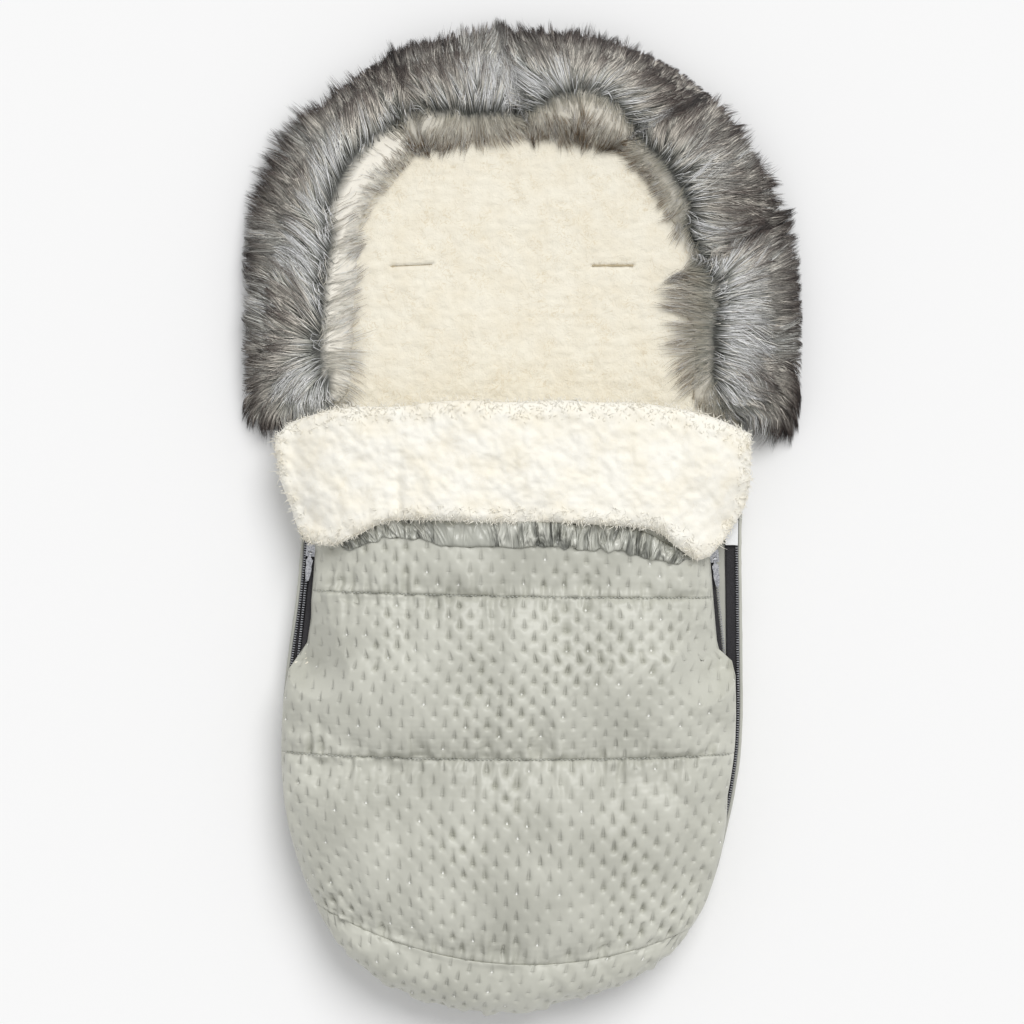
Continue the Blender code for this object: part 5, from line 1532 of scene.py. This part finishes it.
def cuffTufts(upper):
    # short curls of pile that stand out along the cuff's edges, and a few over its face
    rng = np.random.default_rng(7)
    rows, columns = upper.shape[0] - 1, upper.shape[1] - 1
    count = cuff["tufts"][0]
    (short, long), (thin, thick) = cuff["tuftLength"], cuff["tuftRadius"]
    u, v = rng.random(count), rng.random(count)
    pick = rng.random(count)
    inset = 0.16 * rng.random(count) ** 1.5
    fold, free, left = pick < 0.42, (pick >= 0.42) & (pick < 0.84), (pick >= 0.84) & (pick < 0.92)
    right = pick >= 0.92
    v = np.select([fold, free], [inset, 1 - inset], v)
    u = np.select([left, right], [inset * 0.2, 1 - inset * 0.2], u)
    root = upper[(v * rows).astype(int), (u * columns).astype(int)]
    out = np.column_stack([right * 1.0 - left, fold * 1.0 - free, np.zeros(count)])
    swirl = rng.normal(0, 0.55, (count, 3))
    swirl[:, 2] = 0.15 * np.abs(swirl[:, 2])
    length = short + (long - short) * rng.random(count)
    # shorter beside the upright pull
    length *= 1 - 0.7 * ((root[:, 0] > 0.176) & (root[:, 1] < -0.022))
    way = unit(out + swirl)
    bend = np.column_stack([-way[:, 1], way[:, 0], np.full(count, -0.6)]) * rng.normal(0, 0.9, count)[:, None]
    share = (np.arange(strandRings + 1) / strandRings)[None, :, None]
    centres = root[:, None] + length[:, None, None] * (way[:, None] * share + bend[:, None] * share ** 2)
    centres[:, 0, 2] -= 0.001
    mesh, _ = layStrands("cuffTufts", centres, thin + (thick - thin) * rng.random(count))
    return mesh


def makeCuff():
    grid = patch(foldLine, freeLine, leftLine, rightLine, cuff["columns"], cuff["rows"])
    x, y = grid[..., 0], grid[..., 1]
    base = readMap(cuffUnder, cuffXs, cuffYs, grid.reshape(-1, 2)).reshape(x.shape)
    wideSteps, longSteps = [np.linalg.norm(np.diff(grid, axis=axis), axis=2).mean() for axis in (1, 0)]
    columns, rows = np.arange(x.shape[1]), np.arange(x.shape[0])
    far = np.minimum(np.minimum(columns, columns[::-1])[None, :] * wideSteps,
                     np.minimum(rows, rows[::-1])[:, None] * longSteps)
    rounding = crown(1 - np.clip(far / cuff["round"], 0, 1), 2.2)
    swell = 0.85 + 0.30 * weave(x, y, 0.065, 15) + 0.12 * weave(x, y, 0.026, 16)
    fluff = (0.0015 * weave(x, y, 0.0075, 17) + 0.0007 * weave(x, y, 0.0034, 18)) * (0.4 + 0.6 * rounding)
    # the dent above the casing's ruffled corner
    dent = 0.006 * np.exp(-((x - cuff["dent"][0]) / 0.005) ** 2 - ((y - cuff["dent"][1]) / 0.030) ** 2)
    top = base + np.maximum(cuff["thick"] * swell * rounding + fluff, 0.0005) - dent * rounding
    turned = 0.25 * cuff["thick"] * (1 - rounding)
    lower = np.dstack([grid, np.minimum(base + 0.0002 + turned, top - 0.0003 + turned)])
    upper = np.dstack([grid, top + turned])
    shell = slabMesh("cuffSherpa", lower, upper)
    piece = newPiece("cuffSherpa", joined("cuffSherpa", [shell, cuffTufts(upper)]), looks["cuffSherpa"], "cuff")
    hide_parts("cuff_sherpa", "cuff_wadding", "cuff_facing")


hem = {"columns": 560, "rows": 20, "tall": 0.0052, "clothTall": 22, "pressed": (432, 448, 500, 512)}
hemTop = plan([(338, 540), (352, 531), (374, 521), (393, 517), (434, 519), (490, 520), (549, 522), (590, 524),
               (618, 526), (643, 532), (665, 543), (690, 556)])
hemLow = plan([(345, 549), (362, 547), (374, 541), (393, 538), (415, 540), (431, 540), (446, 545), (465, 546),
               (490, 546), (540, 546), (565, 548), (587, 548), (615, 551), (634, 554), (650, 559), (668, 562),
               (688, 560)])


def makeHem():
    high, lowEdge = smoothLine(hemTop, hem["columns"] + 1), smoothLine(hemLow, hem["columns"] + 1)
    run = runOf(high)
    xs, ys = np.arange(-0.22, 0.221, 0.003), np.arange(-0.07, 0.061, 0.003)
    ground = filled(heightMap(treeOf(bpy.data.objects["frontCoverUpper"].data), xs, ys))
    # the ruffles are pressed flat on a stretch at the middle left
    across = high[:, 0] * 1000 + middleAcross
    ruffle = 0.22 + 0.78 * (1 - step(across, *hem["pressed"][:2]) * (1 - step(across, *hem["pressed"][2:])))
    ends = step(run, 0.0, 0.012) * step(run[-1] - run, 0.0, 0.012)
    away = unit(lowEdge - high)
    edge = 0.0024 * weave(run, 0 * run, 0.0075, 27) * ruffle
    low, top = [], []
    for share in np.arange(hem["rows"] + 1) / hem["rows"]:
        # sharp gathered folds that lean and meet
        leanBy = 0.010 * weave(run, 0 * run, 0.030, 28) * (share - 0.5)
        first = 1 - np.abs(weave(run + leanBy, 0 * run + share * 0.004, 0.0090, 25)) * 3.0
        second = 1 - np.abs(weave(run - leanBy * 1.6, 0 * run + 0.7, 0.0055, 26)) * 2.6
        fold = 0.65 * np.clip(first, 0, 1) + 0.35 * np.clip(second, 0, 1)
        spot = high + (lowEdge - high) * share + away * (edge * step(share, 0.4, 1.0))[:, None]
        base = readMap(ground, xs, ys, spot) + 0.0012
        height = hem["tall"] * crown(2 * share - 1, 3) * (0.66 + ruffle * 1.15 * (fold - 0.45))
        height = height * (0.25 + 0.75 * ends) + 0.0003
        low.append(np.column_stack([spot, base]))
        top.append(np.column_stack([spot, base + np.maximum(height, 0.0003)]))
    low, top = np.array(low), np.array(top)
    down = np.linspace(0, hem["clothTall"], hem["rows"] + 1)
    cloth = np.dstack(np.broadcast_arrays(run[None, :] * 1000, down[:, None]))
    piece = newPiece("hemCasing", slabMesh("hemCasing", low, top, cloth), looks["gathered"], "cuff")
    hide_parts("hem_casing", "hem_elastic")


makeCuff()
makeHem()
print("cuff made")


# ---- zips

zipper = {"pitch": 0.0024, "topFromToe": 0.520, "tooth": (0.0013, 0.0026, 0.0024)}


def lowerPath(side, inset):
    line = sideLine(side)
    keep = evenLine(line[line[:, 1] < toeY + zipper["topFromToe"]][4:], 300)
    return keep + lineNormals(keep) * side * inset


def upperPath(side):
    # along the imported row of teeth: its middle line, read from the node's corners
    bm = merged("zip_left_upper_teeth" if side < 0 else "zip_right_upper_teeth")
    spots = np.array([v.co[:] for v in bm.verts])
    bm.free()
    low = spots[spots[:, 2] < spots[:, 2].mean()][:, :2]
    left = set(range(len(low)))
    start = int(low[:, 1].argmax())
    left.discard(start)
    pairs = []
    here = low[start]
    while left:
        near = min(left, key=lambda i: np.linalg.norm(low[i] - here))
        pairs.append((here + low[near]) / 2 if np.linalg.norm(low[near] - here) < 0.0032 else here)
        here = low[near]
        left.discard(near)
    return smoothLine(np.array(pairs)[::2], 300), spots[:, 2].min()


def toothTemplate():
    bm = bmesh.new()
    bmesh.ops.create_cube(bm, size=1.0)
    top = [e for e in bm.edges if all(v.co.z > 0 for v in e.verts)]
    bmesh.ops.bevel(bm, geom=top, offset=0.22, segments=1, profile=0.5, affect="EDGES", material=-1)
    bmesh.ops.triangulate(bm, faces=bm.faces[:])
    return bm


def layTeeth(name, path, height):
    # teeth across the path at an even pitch
    count = int(runOf(path)[-1] / zipper["pitch"])
    line = evenLine(path, count)
    ahead = unit(np.gradient(line, axis=0))
    across = np.column_stack([-ahead[:, 1], ahead[:, 0]])
    mesh = copies(name, toothTemplate(), count)
    spots = places(mesh).reshape(count, -1, 3)
    long, wide, tall = zipper["tooth"]
    flat = line[:, None] + spots[..., :1] * long * ahead[:, None] + spots[..., 1:2] * wide * across[:, None]
    place(mesh, np.dstack([flat, height + (spots[..., 2] + 0.5) * tall]).reshape(-1, 3))
    return mesh


def ribbonMesh(name, path, near, far, low, high, side):
    # a woven strip along a path, between two distances in from it
    normals = lineNormals(path) * side
    flat = [path + normals * (near + (far - near) * row) for row in np.linspace(0, 1, 7)]
    lower, upper = [np.array([np.column_stack([spot, np.full(len(spot), height)]) for spot in flat])
                    for height in (low, high)]
    return slabMesh(name, lower, upper)


def makeZip(side, word):
    teeth = newPiece(f"zip{word}LowerTeeth", layTeeth(f"zip{word}LowerTeeth", lowerPath(side, 0.0046), 0.0281),
                     looks["zip_metal"], "back", smooth=False)
    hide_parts(f"zip_{word.lower()}_lower_teeth")
    tape = newPiece(f"zip{word}LowerTape", ribbonMesh(f"zip{word}LowerTape", lowerPath(side, 0.0), 0.0031, 0.0160,
                    0.0269, 0.0277, side), looks["tape"], "back")
    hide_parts(f"zip_{word.lower()}_lower_tape")
    teeth = newPiece(f"zip{word}UpperTeeth", layTeeth(f"zip{word}UpperTeeth", *upperPath(side)),
                     looks["zip_metal"], "cover", smooth=False)
    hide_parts(f"zip_{word.lower()}_upper_teeth")


def makeFacing():
    # satin binding under the right tape, seen between the two halves of the open zip
    path = lowerPath(1, 0.0)
    path = path[path[:, 1] > -0.235]
    mesh = ribbonMesh("zipRightFacing", evenLine(path, 160), 0.0140, 0.0290, 0.0257, 0.0265, 1)
    spots = places(mesh)
    spots[:, 2] += 0.0005 * grain(np.column_stack([spots[:, 0], spots[:, 1] * 0.6]), 0.008, 95)
    place(mesh, spots)
    piece = newPiece("zipRightFacing", mesh, looks["plainSatin"], "back")


for side, word in ((-1, "Left"), (1, "Right")):
    makeZip(side, word)
makeFacing()
print("zips made")


# ---- carried-over nodes, floor, light and camera

def dressNodes():
    slots = {part["node"]: part["material_slot"] for part in frame["record"]["subparts"]}
    for name, node in nodes.items():
        node.data.materials.clear()
        node.data.materials.append(looks[slots[name]])


dressNodes()

studio = {"floor": "#f8f8f8", "height": 3.2, "focusZ": 0.03, "wide": 1.024, "centre": (-0.0095, 0.010), "sun": 1.72,
          "sunWay": (-0.34, -0.72, -1.0), "sunSoft": 36.0, "world": 0.58}


def makeFloor():
    bm = bmesh.new()
    bmesh.ops.create_grid(bm, x_segments=1, y_segments=1, size=12.0)
    look, _, shader = newLook("paperFloor", 0.9, Specular_IOR_Level=0.2)
    shader.inputs["Base Color"].default_value = linear(studio["floor"])
    floor = newPiece("floor", meshOf(bm, "floor"), look, None)
    floor.location.z = -0.0005


def makeLight():
    sun = bpy.data.lights.new("softSun", "SUN")
    sun.energy = studio["sun"]
    sun.angle = math.radians(studio["sunSoft"])
    lamp = linked("softSun", sun)
    lamp.rotation_mode = "QUATERNION"
    lamp.rotation_quaternion = Vector(studio["sunWay"]).to_track_quat("-Z", "Y")
    world = bpy.data.worlds.new("studio")
    world.use_nodes = True
    background = world.node_tree.nodes["Background"].inputs
    background["Color"].default_value = (1, 1, 1, 1)
    background["Strength"].default_value = studio["world"]
    bpy.context.scene.world = world


def makeCamera():
    data = bpy.data.cameras.new("above")
    data.sensor_width = 36.0
    # the picture's width is met at the cover's height
    data.lens = data.sensor_width * (studio["height"] - studio["focusZ"]) / studio["wide"]
    camera = linked("above", data)
    camera.location = (*studio["centre"], studio["height"])
    bpy.context.scene.camera = camera


makeFloor()
makeLight()
makeCamera()
bpy.context.scene.view_settings.view_transform = "Standard"
print("studio made")
